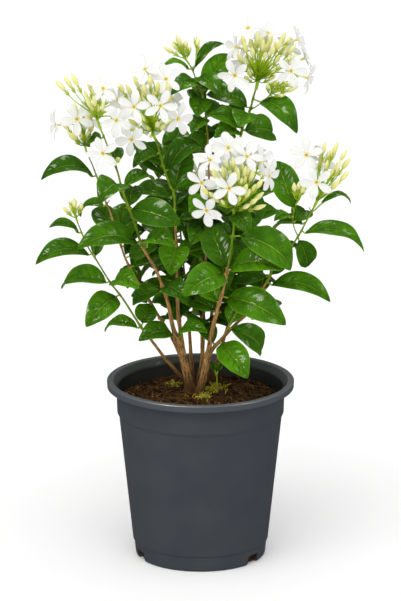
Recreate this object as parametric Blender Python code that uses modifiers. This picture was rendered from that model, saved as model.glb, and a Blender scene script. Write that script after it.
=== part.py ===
"""Potted Arabian jasmine: a plastic pot, its soil, leafy stems and heads of flowers and buds.

Metres, +Z up. The origin is the centre of the pot's underside and the viewer stands on -Y.
The plant's places are read in the reference picture as a pixel (u, v) and a depth in
millimetres, where a negative depth lies nearer to the viewer than the pot's axis.
"""

import math
import random

import bmesh
import bpy
from mathutils import Matrix, Vector, noise
from mathutils.bvhtree import BVHTree

MM = 0.001

# Driving dimensions of the pot, in metres
POT_HEIGHT = 184 * MM
POT_RIM_RADIUS = 95 * MM
POT_LIP_RADIUS = 88.2 * MM
POT_SKIRT_HEIGHT = 7 * MM
POT_COLLAR_TOP_RADIUS = 85.4 * MM
POT_COLLAR_RADIUS = 84.6 * MM
POT_COLLAR_HEIGHT = 151 * MM
POT_STEP = 1.6 * MM
POT_FOOT_TOP_RADIUS = 68.8 * MM
POT_FOOT_HEIGHT = 16 * MM
POT_FOOT_STEP = 1.2 * MM
POT_BASE_RADIUS = 64.5 * MM
POT_WALL = 2.0 * MM
POT_FLOOR = 2.4 * MM
POT_EDGE = 0.8 * MM
POT_BASE_EDGE = 2.0 * MM
POT_SIDES = 28
NOTCH_WIDTH = 17 * MM
NOTCH_HEIGHT = 10 * MM
NOTCH_DEPTH = 9 * MM
NOTCH_OVERCUT = 4 * MM
NOTCH_AZIMUTHS = (53.6, 173.6, 293.6)

# Driving dimensions of the soil and of what grows in it
SEAT = 0.3 * MM
SOIL_LEVEL = 164 * MM
SOIL_MOUND = 9 * MM
SOIL_CRUMB = 2.4 * MM
SOIL_CRUMB_SIZE = 22 * MM
SOIL_RINGS = (0, 34 * MM, 70 * MM)
ROOT_DEPTH = 26 * MM
SPROUT_ROOT = 8 * MM
SPROUT_RADIUS = 0.9 * MM
HOLE_SIDES = 8
HOLE_PLAY = 0.45 * MM
HOLE_RISE = 12 * MM

# Driving dimensions of leaves, flowers and buds
BLADE_THICKNESS = 0.75 * MM
PETIOLE_WIDTH = 2.0 * MM
PETIOLE_THICKNESS = 1.5 * MM
PETIOLE_LENGTH = 5.0 * MM
BLADE_FOLD = math.radians(16)
BLADE_OUTLINE = (0.86, 0.78)
BLADE_BEND = ((0.30, 1.25), (0.72, 1.35))
LARGE_LEAF = 55 * MM
SMALL_LEAF = 41 * MM
LARGE_STATIONS = (0.0, 0.26, 0.54, 0.8, 1.0)
MIDDLE_STATIONS = (0.0, 0.32, 0.68, 1.0)
SMALL_STATIONS = (0.0, 0.46, 1.0)
TEST_STATIONS = (0.06, 0.3, 0.55, 0.8, 1.0)
TEST_MARGIN = 1.05
FLOWER_RADIUS = 18.5 * MM
FLOWER_THICKNESS = 0.8 * MM
LOBES = 5
LOBE_SHAPE = ((-36, 0.22), (-18, 0.95), (18, 0.95))
LOBE_RISE = 2.6 * MM
TUBE_LENGTH = 14 * MM
TUBE_RADIUS = 1.4 * MM
PEDICEL_RADIUS = 0.55 * MM
BUD_LENGTH = 15 * MM
BUD_RADIUS = 2.8 * MM
BUD_TIP_RADIUS = 0.5 * MM
BUD_SHARE = 0.6
BUD_SWELL = 0.42
HUB_RADIUS = 2.6 * MM
HUB_SINK = 0.6
STALK_SEAT = 2.5 * MM
SIDE_STALK_RADIUS = 1.1 * MM
TWIG_RADIUS = 1.2

# Spacings that keep one piece clear of another
ROUTE_STEP = 48 * MM
BEND_GAP = 1.0 * MM
SEARCH_STEPS = 8
CLEARANCE = 2.2 * MM
OWN_CLEARANCE = 0.3 * MM
LEAF_END_GAP = 6 * MM
HEAD_END_GAP = 8 * MM
RIM_INSET = 6 * MM
RIM_GAP = 3 * MM
WELD = 0.002 * MM
SEAM_WELD = 0.01 * MM

# The viewpoint of the reference picture, which turns pixels into places
VIEW_BACK = 4.77
VIEW_HEIGHT = 1.614
VIEW_TILT = math.radians(15.77)
VIEW_FOCUS = 4910.0
VIEW_CENTRE = (200.5, 300.5)

# Colours as linear red, green and blue
POT_COLOUR = (0.058, 0.066, 0.075, 1)
SOIL_COLOUR = (0.045, 0.022, 0.012, 1)
LEAF_COLOUR = (0.035, 0.16, 0.012, 1)
PETAL_COLOUR = (0.88, 0.88, 0.85, 1)
BUD_COLOUR = (0.75, 0.72, 0.36, 1)

# Leafy stems. Each branch is its first and last radius in millimetres, then its route from
# the soil upwards as (u, v, depth). The first branch of a stem is the one in the soil.
STEMS = {
    "stem_left": {
        "trunk": (5.2, 4.7, [(190, 391, 0), (187, 374, -5), (182, 354, -9), (179, 341, -12)]),
        "front": (3.4, 1.3, [
            (183, 356, -10), (174, 331, -16), (167, 300, -22), (157, 272, -28), (149, 258, -31),
            (141, 243, -36), (134, 221, -40), (128, 206, -42), (122, 189, -42), (117, 170, -40),
            (111, 156, -38), (106, 142, -36), (101, 130, -35)]),
        "middle": (3.2, 1.4, [
            (184, 358, -8), (181, 335, -5), (178, 310, -2), (177, 280, 0), (176, 240, 0),
            (174, 196, -4), (170, 186, -6), (164, 169, -10), (159, 150, -16), (155, 139, -20)]),
        "rear": (2.5, 1.1, [
            (182, 358, -9), (171, 336, -4), (158, 315, 2), (142, 288, 8), (127, 262, 9),
            (120, 243, 8), (112, 217, 6), (105, 200, 2), (98, 180, -5), (92, 164, -10),
            (87, 153, -13)]),
    },
    "stem_far_left": {
        "main": (2.3, 1.1, [
            (186, 385, 15), (176, 371, 8), (164, 357, 1), (152, 341, -6), (141, 327, -12),
            (123, 299, -18), (110, 282, -22), (97, 261, -26), (88, 247, -28), (81, 231, -30),
            (77.5, 222, -30)]),
    },
    "stem_centre": {
        "main": (2.8, 1.1, [
            (198, 385, 16), (201.5, 365, 17), (203, 340, 19), (204, 300, 21), (206, 250, 24),
            (209, 200, 28), (208, 145, 30), (206, 118, 30), (203, 96, 30), (197, 83, 30),
            (193, 71, 30), (189, 64, 30)]),
        "twig": (0.9, 0.8, [(193, 72, 30), (195, 65, 27), (196, 59, 26)]),
    },
    "stem_right_rear": {
        "main": (2.7, 1.7, [
            (206, 383, 26), (208, 362, 29), (210, 335, 32), (213, 305, 35), (219, 280, 36),
            (224, 240, 36), (229, 200, 36), (236, 160, 34), (242, 130, 32), (246, 119, 32),
            (250, 110, 31), (254, 95, 29), (256, 89, 28)]),
        "twig": (1.1, 0.9, [(250, 110, 31), (257, 106, 26), (264, 100, 22), (268, 97, 20)]),
    },
    "stem_right": {
        "trunk": (4.2, 4.0, [(199.5, 394, -11), (203, 378, -12), (206, 362, -13), (208, 353, -14)]),
        "front": (3.4, 1.7, [
            (207, 360, -12), (211, 336, -20), (215, 319, -26), (219, 304, -32), (222, 295, -35),
            (225, 282, -40), (227, 272, -44), (229, 262, -47), (231.5, 245, -52),
            (233.5, 230, -56), (234, 216, -60)]),
        "side": (2.6, 1.4, [
            (206, 362, -11), (212, 350, -8), (220, 341, -4), (229, 331, 0), (238, 322, 4),
            (247, 314, 6), (256, 302, 6), (263, 288, 2), (269, 278, 0), (274, 267, -2),
            (281, 259, -4), (290, 248, -6), (299, 235, -8), (308, 218, -10), (314, 207, -11)]),
        "low_twig": (1.7, 1.0, [
            (208, 354, -13), (215, 345, -20), (222, 338, -24), (228, 328, -28),
            (233, 318, -31), (239, 309, -33)]),
        "bud_twig": (1.0, 0.8, [(298, 236, -8), (294, 227, -12), (293, 215, -16), (296, 205, -18)]),
    },
    "stem_back_left": {
        "main": (2.4, 1.2, [
            (193, 382, 30), (191, 355, 42), (189, 325, 54), (186, 290, 66), (182, 250, 78),
            (179, 215, 86), (175, 188, 90), (168, 163, 92), (158, 142, 92), (154, 136, 92)]),
    },
    "stem_back_right": {
        "main": (2.4, 1.2, [
            (212, 379, 40), (220, 352, 48), (229, 322, 58), (237, 292, 68), (243, 262, 78),
            (247, 232, 84), (249, 207, 88), (250, 194, 90)]),
    },
    "stem_back": {
        "main": (2.3, 1.1, [
            (201, 378, 46), (202, 350, 60), (201, 310, 76), (199, 270, 90), (197, 235, 100),
            (195, 208, 106), (194, 196, 108)]),
    },
}

# Leaves. A row is the blade's base and tip in the picture, its length and width in
# millimetres, which way the tip leans (-1 nearer, 1 further), how far the upper face turns
# from the sky to the viewer in degrees, and how high the blade arches for its length.
LEAVES = {
    ("stem_left", "front"): [
        (172, 334, 138.5, 341, 42, 26, -1, 45, 0.24),
        (179, 335, 208, 333, 38, 22, -1, 35, 0.28),
        (138, 244, 77, 249, 66, 34, -1, 40, 0.24),
        (144, 247, 175, 247, 44, 30, -1, 40, 0.34),
        (121, 190, 99, 204, 46, 32, -1, 40, 0.34),
        (125, 186, 154, 183, 42, 22, 1, 20, 0.26),
        (131, 206, 181, 224.5, 57, 32, -1, 70, 0.14),
        (164, 287, 188, 302, 40, 26, -1, 50, 0.24),
        (161, 290, 133, 305, 38, 24, 1, 45, 0.2),
        (117, 166, 114, 148, 30, 20, 1, 80, 0.12),
        (104, 136, 90, 147, 34, 18, 1, 40, 0.2),
        (128, 208, 133, 187, 44, 26, 1, 60, 0.14),
    ],
    ("stem_left", "middle"): [
        (175, 243, 171, 276, 46, 32, -1, 50, 0.26),
        (173, 196, 130, 207, 50, 30, 1, 20, 0.3),
        (165, 170, 201, 149, 50, 26, 1, 35, 0.36),
        (162, 168, 146, 149, 38, 22, 1, 50, 0.14),
        (175, 193, 185, 145, 54, 30, 1, 80, 0.1),
        (177, 300, 192, 314, 40, 28, 1, 50, 0.18),
        (159, 152, 133, 168, 36, 18, -1, 30, 0.24),
        (177, 244, 200, 262, 46, 28, 1, 40, 0.2),
        (176, 262, 158, 270, 40, 26, 1, 45, 0.2),
        (178, 318, 164, 322, 36, 22, 1, 40, 0.2),
    ],
    ("stem_left", "rear"): [
        (92, 178, 41, 180, 54, 28, -1, 28, 0.3),
        (106, 205, 81, 217, 38, 20, 1, 25, 0.26),
        (119, 245, 124, 203, 50, 32, 1, 80, 0.1),
        (117, 238, 95, 208, 44, 26, 1, 60, 0.16),
        (128, 264, 148, 262, 40, 24, 1, 50, 0.22),
        (141, 287, 122, 268, 34, 22, 1, 60, 0.2),
        (150, 303, 131, 296, 34, 20, -1, 45, 0.24),
    ],
    ("stem_far_left", "main"): [
        (81, 233, 49, 227.5, 36, 16, -1, 30, 0.26),
        (91, 256, 35.5, 264.5, 58, 28, -1, 32, 0.26),
        (95, 257, 99, 243, 34, 14, 1, 60, 0.14),
        (107, 282, 62, 289, 54, 32, 1, 30, 0.24),
        (113, 284, 139.5, 289, 40, 26, -1, 52, 0.34),
        (115, 297, 86, 327, 50, 30, -1, 68, 0.2),
        (140, 327, 105, 332, 42, 20, 1, 25, 0.26),
        (143, 326, 150, 304, 34, 24, 1, 70, 0.18),
    ],
    ("stem_centre", "main"): [
        (204, 92, 228, 53.7, 48, 26, 1, 75, 0.14),
        (195, 66, 224.6, 44.5, 42, 13, 1, 30, 0.26),
        (199, 88, 171, 95, 40, 24, -1, 45, 0.3),
        (202, 96, 197, 117, 34, 24, -1, 60, 0.16),
        (191, 69, 163, 66, 34, 13, -1, 20, 0.2),
        (205, 119, 191, 133, 34, 20, -1, 50, 0.22),
        (208, 117, 221, 106, 40, 24, 1, 60, 0.14),
        (207, 151, 187, 138, 46, 26, 1, 60, 0.14),
        (208, 200, 190, 214, 42, 26, -1, 50, 0.2),
        (207, 230, 191, 245, 44, 28, -1, 45, 0.2),
        (206, 262, 191, 280, 44, 28, 1, 50, 0.16),
        (204, 296, 218, 284, 40, 26, 1, 50, 0.16),
        (203, 320, 190, 331, 36, 22, -1, 45, 0.2),
    ],
    ("stem_right_rear", "main"): [
        (262, 102, 297, 133.7, 58, 28, -1, 40, 0.28),
        (243, 131, 272, 136, 46, 32, 1, 65, 0.22),
        (240, 132, 214, 138, 36, 24, -1, 45, 0.3),
        (246, 107, 206, 95, 52, 26, 1, 40, 0.16),
        (244, 124, 224, 106, 44, 30, 1, 70, 0.14),
        (247, 112, 239, 127, 34, 28, -1, 55, 0.16),
        (232, 186, 256, 215, 50, 30, 1, 50, 0.2),
        (226, 228, 262, 196, 58, 32, 1, 70, 0.12),
        (222, 252, 249, 240, 44, 28, 1, 50, 0.2),
    ],
    ("stem_right", "front"): [
        (223, 272, 183, 296, 54, 34, -1, 62, 0.22),
        (224, 270, 209, 226, 54, 32, 1, 80, 0.12),
        (232, 270, 282.6, 270.5, 56, 32, -1, 48, 0.26),
        (229, 298, 286, 325, 66, 36, -1, 62, 0.2),
        (235, 216, 250, 233.5, 30, 22, -1, 60, 0.3),
        (231, 237, 218, 225, 30, 12, 1, 60, 0.14),
        (241, 236, 291, 270, 64, 38, 1, 52, 0.26),
        (217, 312, 192, 303, 40, 26, 1, 50, 0.16),
        (218, 304, 201, 283, 38, 24, 1, 60, 0.14),
        (227, 272, 240, 250, 40, 24, 1, 70, 0.12),
    ],
    ("stem_right", "side"): [
        (273, 285, 330.5, 302, 62, 28, -1, 36, 0.24),
        (306, 233, 364.3, 252.7, 64, 28, 1, 24, 0.24),
        (301, 239, 307, 267, 36, 24, 1, 50, 0.14),
        (322, 203, 351, 203.6, 34, 11, 1, 20, 0.3),
        (263, 288, 246, 276, 36, 26, 1, 60, 0.18),
        (270, 276, 283, 262, 30, 20, 1, 60, 0.2),
        (249, 312, 252, 320, 30, 20, 1, 50, 0.16),
        (281, 259, 268, 250, 28, 18, 1, 50, 0.2),
    ],
    ("stem_right", "low_twig"): [
        (221, 342, 247.5, 378.5, 52, 31, -1, 62, 0.14),
        (230, 328, 258.5, 354.5, 48, 30, 1, 55, 0.26),
        (227, 326, 238, 304, 32, 20, 1, 70, 0.14),
        (214, 344, 202, 325, 34, 20, 1, 50, 0.16),
    ],
    ("stem_right", "bud_twig"): [
        (293, 211, 277, 161, 56, 30, 1, 78, 0.12),
        (294, 216, 274, 221, 30, 14, -1, 40, 0.2),
        (295, 222, 306, 211, 30, 24, 1, 60, 0.14),
    ],
    ("stem_back_left", "main"): [
        (188, 318, 166, 308, 46, 28, 1, 30, 0.2),
        (188, 318, 204, 316, 46, 28, -1, 30, 0.2),
        (183, 262, 158, 256, 52, 30, -1, 30, 0.22),
        (183, 262, 203, 270, 50, 30, 1, 30, 0.22),
        (180, 224, 152, 214, 54, 30, 1, 30, 0.2),
        (180, 224, 196, 226, 52, 30, -1, 30, 0.2),
        (175, 190, 196, 176, 52, 28, 1, 30, 0.2),
        (168, 164, 146, 172, 46, 26, 1, 30, 0.24),
        (168, 164, 182, 128, 52, 28, 1, 60, 0.14),
    ],
    ("stem_back_right", "main"): [
        (230, 318, 250, 318, 46, 28, 1, 30, 0.2),
        (239, 286, 262, 292, 50, 30, 1, 30, 0.22),
        (239, 286, 226, 284, 46, 28, -1, 30, 0.22),
        (244, 256, 272, 262, 54, 30, 1, 30, 0.22),
        (244, 256, 230, 250, 50, 30, -1, 30, 0.2),
        (248, 222, 280, 216, 56, 30, 1, 30, 0.2),
        (248, 222, 228, 216, 50, 28, -1, 30, 0.2),
        (249, 200, 274, 192, 48, 26, 1, 40, 0.2),
    ],
    ("stem_back", "main"): [
        (201, 316, 214, 306, 44, 26, -1, 20, 0.2),
        (200, 280, 212, 262, 52, 30, 1, 20, 0.22),
        (198, 250, 186, 240, 52, 30, -1, 20, 0.22),
        (196, 222, 216, 214, 52, 30, 1, 20, 0.2),
        (195, 204, 182, 190, 48, 26, 1, 20, 0.2),
        (194, 198, 206, 180, 46, 26, 1, 30, 0.2),
    ],
}

# Heads. Each grows from a branch's end. Its hub is (u, v, depth). A flower is its centre
# (u, v, depth) and where it faces: degrees to the right of the viewer, and degrees up.
# A bud is the place of its tip.
HEADS = {
    "head_top_right": {
        "stem": ("stem_right_rear", "main"),
        "hub": (257.5, 81, 26),
        "flowers": [
            (248, 28, 22, -20, 50), (268, 33, 36, 15, 60), (298, 39, 20, 80, 25),
            (305, 58, 34, 85, 10), (308, 78, 8, 75, -12), (291, 71, -14, 20, 5),
            (234.7, 75.5, -14, -15, 0), (236, 47, 24, -60, 20), (262, 47, 74, 160, 30),
            (288, 50, 66, 130, 20), (240, 60, 68, -140, 20)],
        "buds": [
            (242, 35, 6), (258, 32, 0), (244, 42, -4), (264, 40, -12), (272, 35, 8),
            (286, 32, 12), (291, 37, 24), (296, 44, 0), (238, 53, -6), (281, 40, -8),
            (296, 54, -12), (252, 47, -18), (274, 46, -16)],
    },
    "head_top": {
        "stem": ("stem_centre", "main"),
        "hub": (184.5, 58, 30),
        "flowers": [],
        "buds": [
            (163.5, 46.5, 26), (172, 42, 34), (176, 34.5, 24), (185.5, 39.5, 30),
            (190, 46, 38), (180, 44, 46)],
    },
    "bud_top": {
        "stem": ("stem_centre", "twig"),
        "hub": (196.3, 56, 26),
        "flowers": [],
        "buds": [(198, 37, 26)],
    },
    "head_upper_left": {
        "stem": ("stem_left", "front"),
        "hub": (97, 119, -34),
        "flowers": [
            (103, 88.5, -34, 10, 40), (116.5, 120.5, -58, 20, 0), (118, 100, -20, 40, 30)],
        "buds": [
            (55.5, 80, -44), (63.5, 75.5, -38), (71.5, 73.5, -46), (88, 79, -36),
            (86, 97, -54), (93, 96, -52), (104, 101, -52)],
    },
    "head_middle_left": {
        "stem": ("stem_left", "middle"),
        "hub": (153, 130, -24),
        "flowers": [
            (166, 79, -26, 10, 35), (145, 69, -24, -20, 45), (134, 107, -54, -15, 10),
            (160.5, 106, -58, 5, 12), (178, 119, -46, 35, 0), (131.5, 139.5, -46, -20, -8),
            (140, 92, 10, -120, 40), (172, 98, 14, 130, 25)],
        "buds": [
            (134, 75, -30), (116.5, 81.5, -20), (149.5, 74, -40), (143, 83, -44),
            (158, 81, -44), (169, 82, -40), (165, 125, -52), (128, 119, -44),
            (149, 104, -62), (124, 127, -30)],
    },
    "head_left": {
        "stem": ("stem_left", "rear"),
        "hub": (85, 145, -14),
        "flowers": [(55.5, 125, -16, -75, 0), (77, 119, -28, 5, 20), (88, 118, 16, 150, 20)],
        "buds": [
            (62, 121, -30), (74, 102, -20), (82, 104, -22), (93, 121, -26), (68, 132, -34)],
    },
    "flower_left": {
        "stem": None,
        "hub": (115, 165, -45),
        "flowers": [(103, 153.5, -62, -12, 5)],
        "buds": [(119, 158, -56)],
    },
    "head_front": {
        "stem": ("stem_right", "front"),
        "hub": (234, 208, -62),
        "flowers": [
            (229, 188.5, -94, -2, 6), (206.5, 210.5, -84, -25, -14), (201.5, 183, -74, -30, 5),
            (210, 160, -62, -25, 35), (228.5, 148, -56, 0, 50), (247, 156.5, -62, 20, 40),
            (262, 161, -46, 45, 30), (269, 176, -62, 60, -5), (236, 166, -14, 170, 35),
            (222, 184, -18, -150, 5)],
        "buds": [
            (263, 179, -84), (264, 192, -80), (250, 189, -90), (266, 205, -70),
            (246, 166, -86), (233, 157, -80), (212, 168, -84), (201, 187, -92),
            (222, 166, -86), (238, 168, -92), (254, 170, -76), (213, 196, -92)],
    },
    "head_right": {
        "stem": ("stem_right", "side"),
        "hub": (316.5, 202, -12),
        "flowers": [(316.6, 182.5, -34, 0, 8), (306.5, 155, -14, -12, 25), (322, 160, 18, 165, 20)],
        "buds": [
            (325.5, 141.5, -12), (338, 141.5, -8), (347, 149, -14), (350, 158, -6),
            (349, 171, -22), (339.5, 180, -26), (334, 147, 6), (341, 160, -30)],
    },
    "buds_right": {
        "stem": ("stem_right", "bud_twig"),
        "hub": (298, 201, -19),
        "flowers": [],
        "buds": [(294, 182.5, -24), (299.5, 181, -16), (305, 185.5, -22)],
    },
    "buds_far_left": {
        "stem": ("stem_far_left", "main"),
        "hub": (76, 217, -30),
        "flowers": [],
        "buds": [(62.5, 207, -32), (69.5, 202, -24), (74, 198, -36), (82, 202.5, -30)],
    },
    "buds_side": {
        "stem": ("stem_right_rear", "twig"),
        "hub": (271, 94, 19),
        "flowers": [],
        "buds": [(267.5, 83.5, 14), (276.5, 80, 22), (288.5, 81, 20), (299, 86, 16), (285, 95, 10)],
    },
    "head_back_left": {
        "stem": ("stem_back_left", "main"),
        "hub": (151, 128, 92),
        "flowers": [
            (132, 106, 104, 200, 20), (150, 94, 106, 180, 50), (168, 103, 106, 150, 25),
            (143, 120, 124, 185, 0), (163, 122, 122, 165, -4)],
        "buds": [(138, 90, 96), (158, 84, 94), (174, 118, 108)],
    },
    "head_back_right": {
        "stem": ("stem_back_right", "main"),
        "hub": (250, 186, 92),
        "flowers": [
            (234, 164, 100, 200, 25), (252, 156, 104, 180, 50), (266, 168, 104, 150, 20),
            (243, 180, 122, 185, 0)],
        "buds": [(243, 150, 92), (262, 150, 94), (228, 178, 108)],
    },
    "head_back": {
        "stem": ("stem_back", "main"),
        "hub": (194, 188, 110),
        "flowers": [(198, 172, 132, 178, 20)],
        "buds": [(190, 168, 112), (201, 163, 110)],
    },
}

SEEDLING_STEM = [(217, 383, 14), (216.5, 376, 12), (215, 370, 11)]
SEEDLING_LEAVES = [
    (215, 371, 212, 362, 12, 7, 1, 70, 0.1),
    (215, 371, 221, 363, 12, 7, 1, 60, 0.1),
]


def spot(u, v, depth):
    """The place in metres seen at a pixel, at a depth in millimetres from the pot's axis."""
    sideways = (u - VIEW_CENTRE[0]) / VIEW_FOCUS
    upwards = (VIEW_CENTRE[1] - v) / VIEW_FOCUS
    along = math.cos(VIEW_TILT) + upwards * math.sin(VIEW_TILT)
    rise = -math.sin(VIEW_TILT) + upwards * math.cos(VIEW_TILT)
    reach = (depth * MM + VIEW_BACK) / along
    return Vector((sideways * reach, depth * MM, VIEW_HEIGHT + rise * reach))


def spot_at_length(u, v, start, length, lean):
    """The place seen at a pixel that lies a given length from start, nearer or further."""
    near, far = spot(u, v, -400), spot(u, v, 400)
    ray = (far - near).normalized()
    middle = near + ray * (start - near).dot(ray)
    off = (middle - start).length
    return middle + ray * (lean * math.sqrt(max(length * length - off * off, 0.0)))


def smooth_route(points, step):
    """Points along a smooth curve through the given points, about a step apart."""
    route = []
    last = len(points) - 1
    for i in range(last):
        before = points[max(i - 1, 0)]
        start = points[i]
        end = points[i + 1]
        after = points[min(i + 2, last)]
        count = max(1, round((end - start).length / step))
        for k in range(count):
            t = k / count
            route.append(0.5 * ((2 * start) + (end - before) * t
                         + (2 * before - 5 * start + 4 * end - after) * t ** 2
                         + (3 * start - before - 3 * end + after) * t ** 3))
    route.append(points[last])
    return route


def make_material(name, colour, roughness):
    material = bpy.data.materials.new(name)
    material.use_nodes = True
    shader = material.node_tree.nodes["Principled BSDF"]
    shader.inputs["Base Color"].default_value = colour
    shader.inputs["Roughness"].default_value = roughness
    material.diffuse_color = colour
    return material


def add_object(name, mesh, collection):
    made = bpy.data.objects.new(name, mesh)
    collection.objects.link(made)
    return made


def mesh_from(bm, name):
    mesh = bpy.data.meshes.new(name)
    bm.to_mesh(mesh)
    bm.free()
    return mesh


def tube_mesh(name, points, radii, resolution):
    """A closed tube along the points, as a curve with a bevel that is made a mesh."""
    curve = bpy.data.curves.new(name, "CURVE")
    curve.dimensions = "3D"
    curve.bevel_depth = 1.0
    curve.bevel_resolution = resolution
    curve.use_fill_caps = True
    spline = curve.splines.new("POLY")
    spline.points.add(len(points) - 1)
    for point, place, radius in zip(spline.points, points, radii):
        point.co = (*place, 1)
        point.radius = radius
    holder = bpy.data.objects.new(name, curve)
    bpy.context.scene.collection.objects.link(holder)
    graph = bpy.context.evaluated_depsgraph_get()
    mesh = bpy.data.meshes.new_from_object(holder.evaluated_get(graph))
    bpy.data.objects.remove(holder)
    bpy.data.curves.remove(curve)
    bm = bmesh.new()
    bm.from_mesh(mesh)
    bmesh.ops.remove_doubles(bm, verts=bm.verts, dist=SEAM_WELD)
    bmesh.ops.triangulate(bm, faces=bm.faces)
    bmesh.ops.recalc_face_normals(bm, faces=bm.faces)
    bm.to_mesh(mesh)
    bm.free()
    return mesh


def is_closed(mesh):
    """Whether every edge of a mesh has just two faces."""
    bm = bmesh.new()
    bm.from_mesh(mesh)
    closed = all(len(edge.link_faces) == 2 for edge in bm.edges)
    bm.free()
    return closed


def fuse(name, meshes, collection, work, material):
    """One solid from overlapping closed meshes, by one Boolean union on a collection."""
    body = add_object(name, meshes[0], collection)
    pieces = [add_object(f"{name}_{i}", mesh, work) for i, mesh in enumerate(meshes[1:])]
    union = body.modifiers.new("Union", "BOOLEAN")
    union.operation = "UNION"
    union.operand_type = "COLLECTION"
    union.collection = work
    for solver in ("EXACT", "MANIFOLD"):
        union.solver = solver
        graph = bpy.context.evaluated_depsgraph_get()
        joined = bpy.data.meshes.new_from_object(body.evaluated_get(graph))
        keep_largest(joined)
        if is_closed(joined):
            break
    body.modifiers.clear()
    body.data = joined
    for piece in pieces:
        bpy.data.objects.remove(piece)
    joined.materials.clear()
    joined.materials.append(material)
    return body


def keep_largest(mesh):
    """Welds a union's seams and drops the loose scraps beside its largest body."""
    bm = bmesh.new()
    bm.from_mesh(mesh)
    bmesh.ops.remove_doubles(bm, verts=bm.verts, dist=WELD)
    unseen = set(bm.verts)
    bodies = []
    while unseen:
        front = [unseen.pop()]
        body = list(front)
        while front:
            vertex = front.pop()
            for edge in vertex.link_edges:
                other = edge.other_vert(vertex)
                if other in unseen:
                    unseen.remove(other)
                    front.append(other)
                    body.append(other)
        bodies.append(body)
    bodies.sort(key=len, reverse=True)
    for scrap in bodies[1:]:
        bmesh.ops.delete(bm, geom=scrap, context="VERTS")
    bmesh.ops.triangulate(bm, faces=bm.faces)
    bm.to_mesh(mesh)
    bm.free()


def ring_profile(name, profile, sides, collection):
    """A turned solid from its profile of (radius, height), spun by a Screw modifier."""
    mesh = bpy.data.meshes.new(name)
    count = len(profile)
    edges = [(i, i + 1) for i in range(count - 1)]
    if profile[0][0] > 0:
        edges.append((count - 1, 0))
    mesh.from_pydata([(radius, 0, height) for radius, height in profile], edges, [])
    turned = add_object(name, mesh, collection)
    screw = turned.modifiers.new("Turn", "SCREW")
    screw.axis = "Z"
    screw.steps = sides
    screw.render_steps = sides
    screw.use_merge_vertices = True
    screw.merge_threshold = 0.0001
    screw.use_smooth_shade = False
    graph = bpy.context.evaluated_depsgraph_get()
    solid = bpy.data.meshes.new_from_object(turned.evaluated_get(graph))
    turned.modifiers.clear()
    turned.data = solid
    bm = bmesh.new()
    bm.from_mesh(solid)
    bmesh.ops.remove_doubles(bm, verts=bm.verts, dist=SEAM_WELD)
    bmesh.ops.recalc_face_normals(bm, faces=bm.faces)
    bm.to_mesh(solid)
    bm.free()
    return turned


def cut(body, cutters):
    """Cuts the collection of cutters out of a body."""
    removal = body.modifiers.new("Cut", "BOOLEAN")
    removal.operation = "DIFFERENCE"
    removal.operand_type = "COLLECTION"
    removal.collection = cutters
    removal.solver = "EXACT"


def pot_outer_radius(height):
    """The outer radius of the pot's tapered wall between its foot and its collar."""
    share = (height - POT_FOOT_HEIGHT) / (POT_COLLAR_HEIGHT - POT_FOOT_HEIGHT)
    top = POT_COLLAR_RADIUS - POT_STEP
    return POT_FOOT_TOP_RADIUS + (top - POT_FOOT_TOP_RADIUS) * share


def pot_inner_radius(height):
    """The inner radius of the pot at a height above its floor."""
    if height > POT_COLLAR_HEIGHT:
        share = (height - POT_COLLAR_HEIGHT) / (POT_HEIGHT - POT_SKIRT_HEIGHT - POT_COLLAR_HEIGHT)
        low, high = pot_outer_radius(POT_COLLAR_HEIGHT), POT_COLLAR_TOP_RADIUS
        return low + (high - low) * share - POT_WALL
    if height < POT_FOOT_HEIGHT:
        share = max(height, 0) / POT_FOOT_HEIGHT
        low, high = POT_BASE_RADIUS - POT_WALL, POT_FOOT_TOP_RADIUS - POT_FOOT_STEP - POT_WALL
        return low + (high - low) * share
    return pot_outer_radius(height) - POT_WALL


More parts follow.
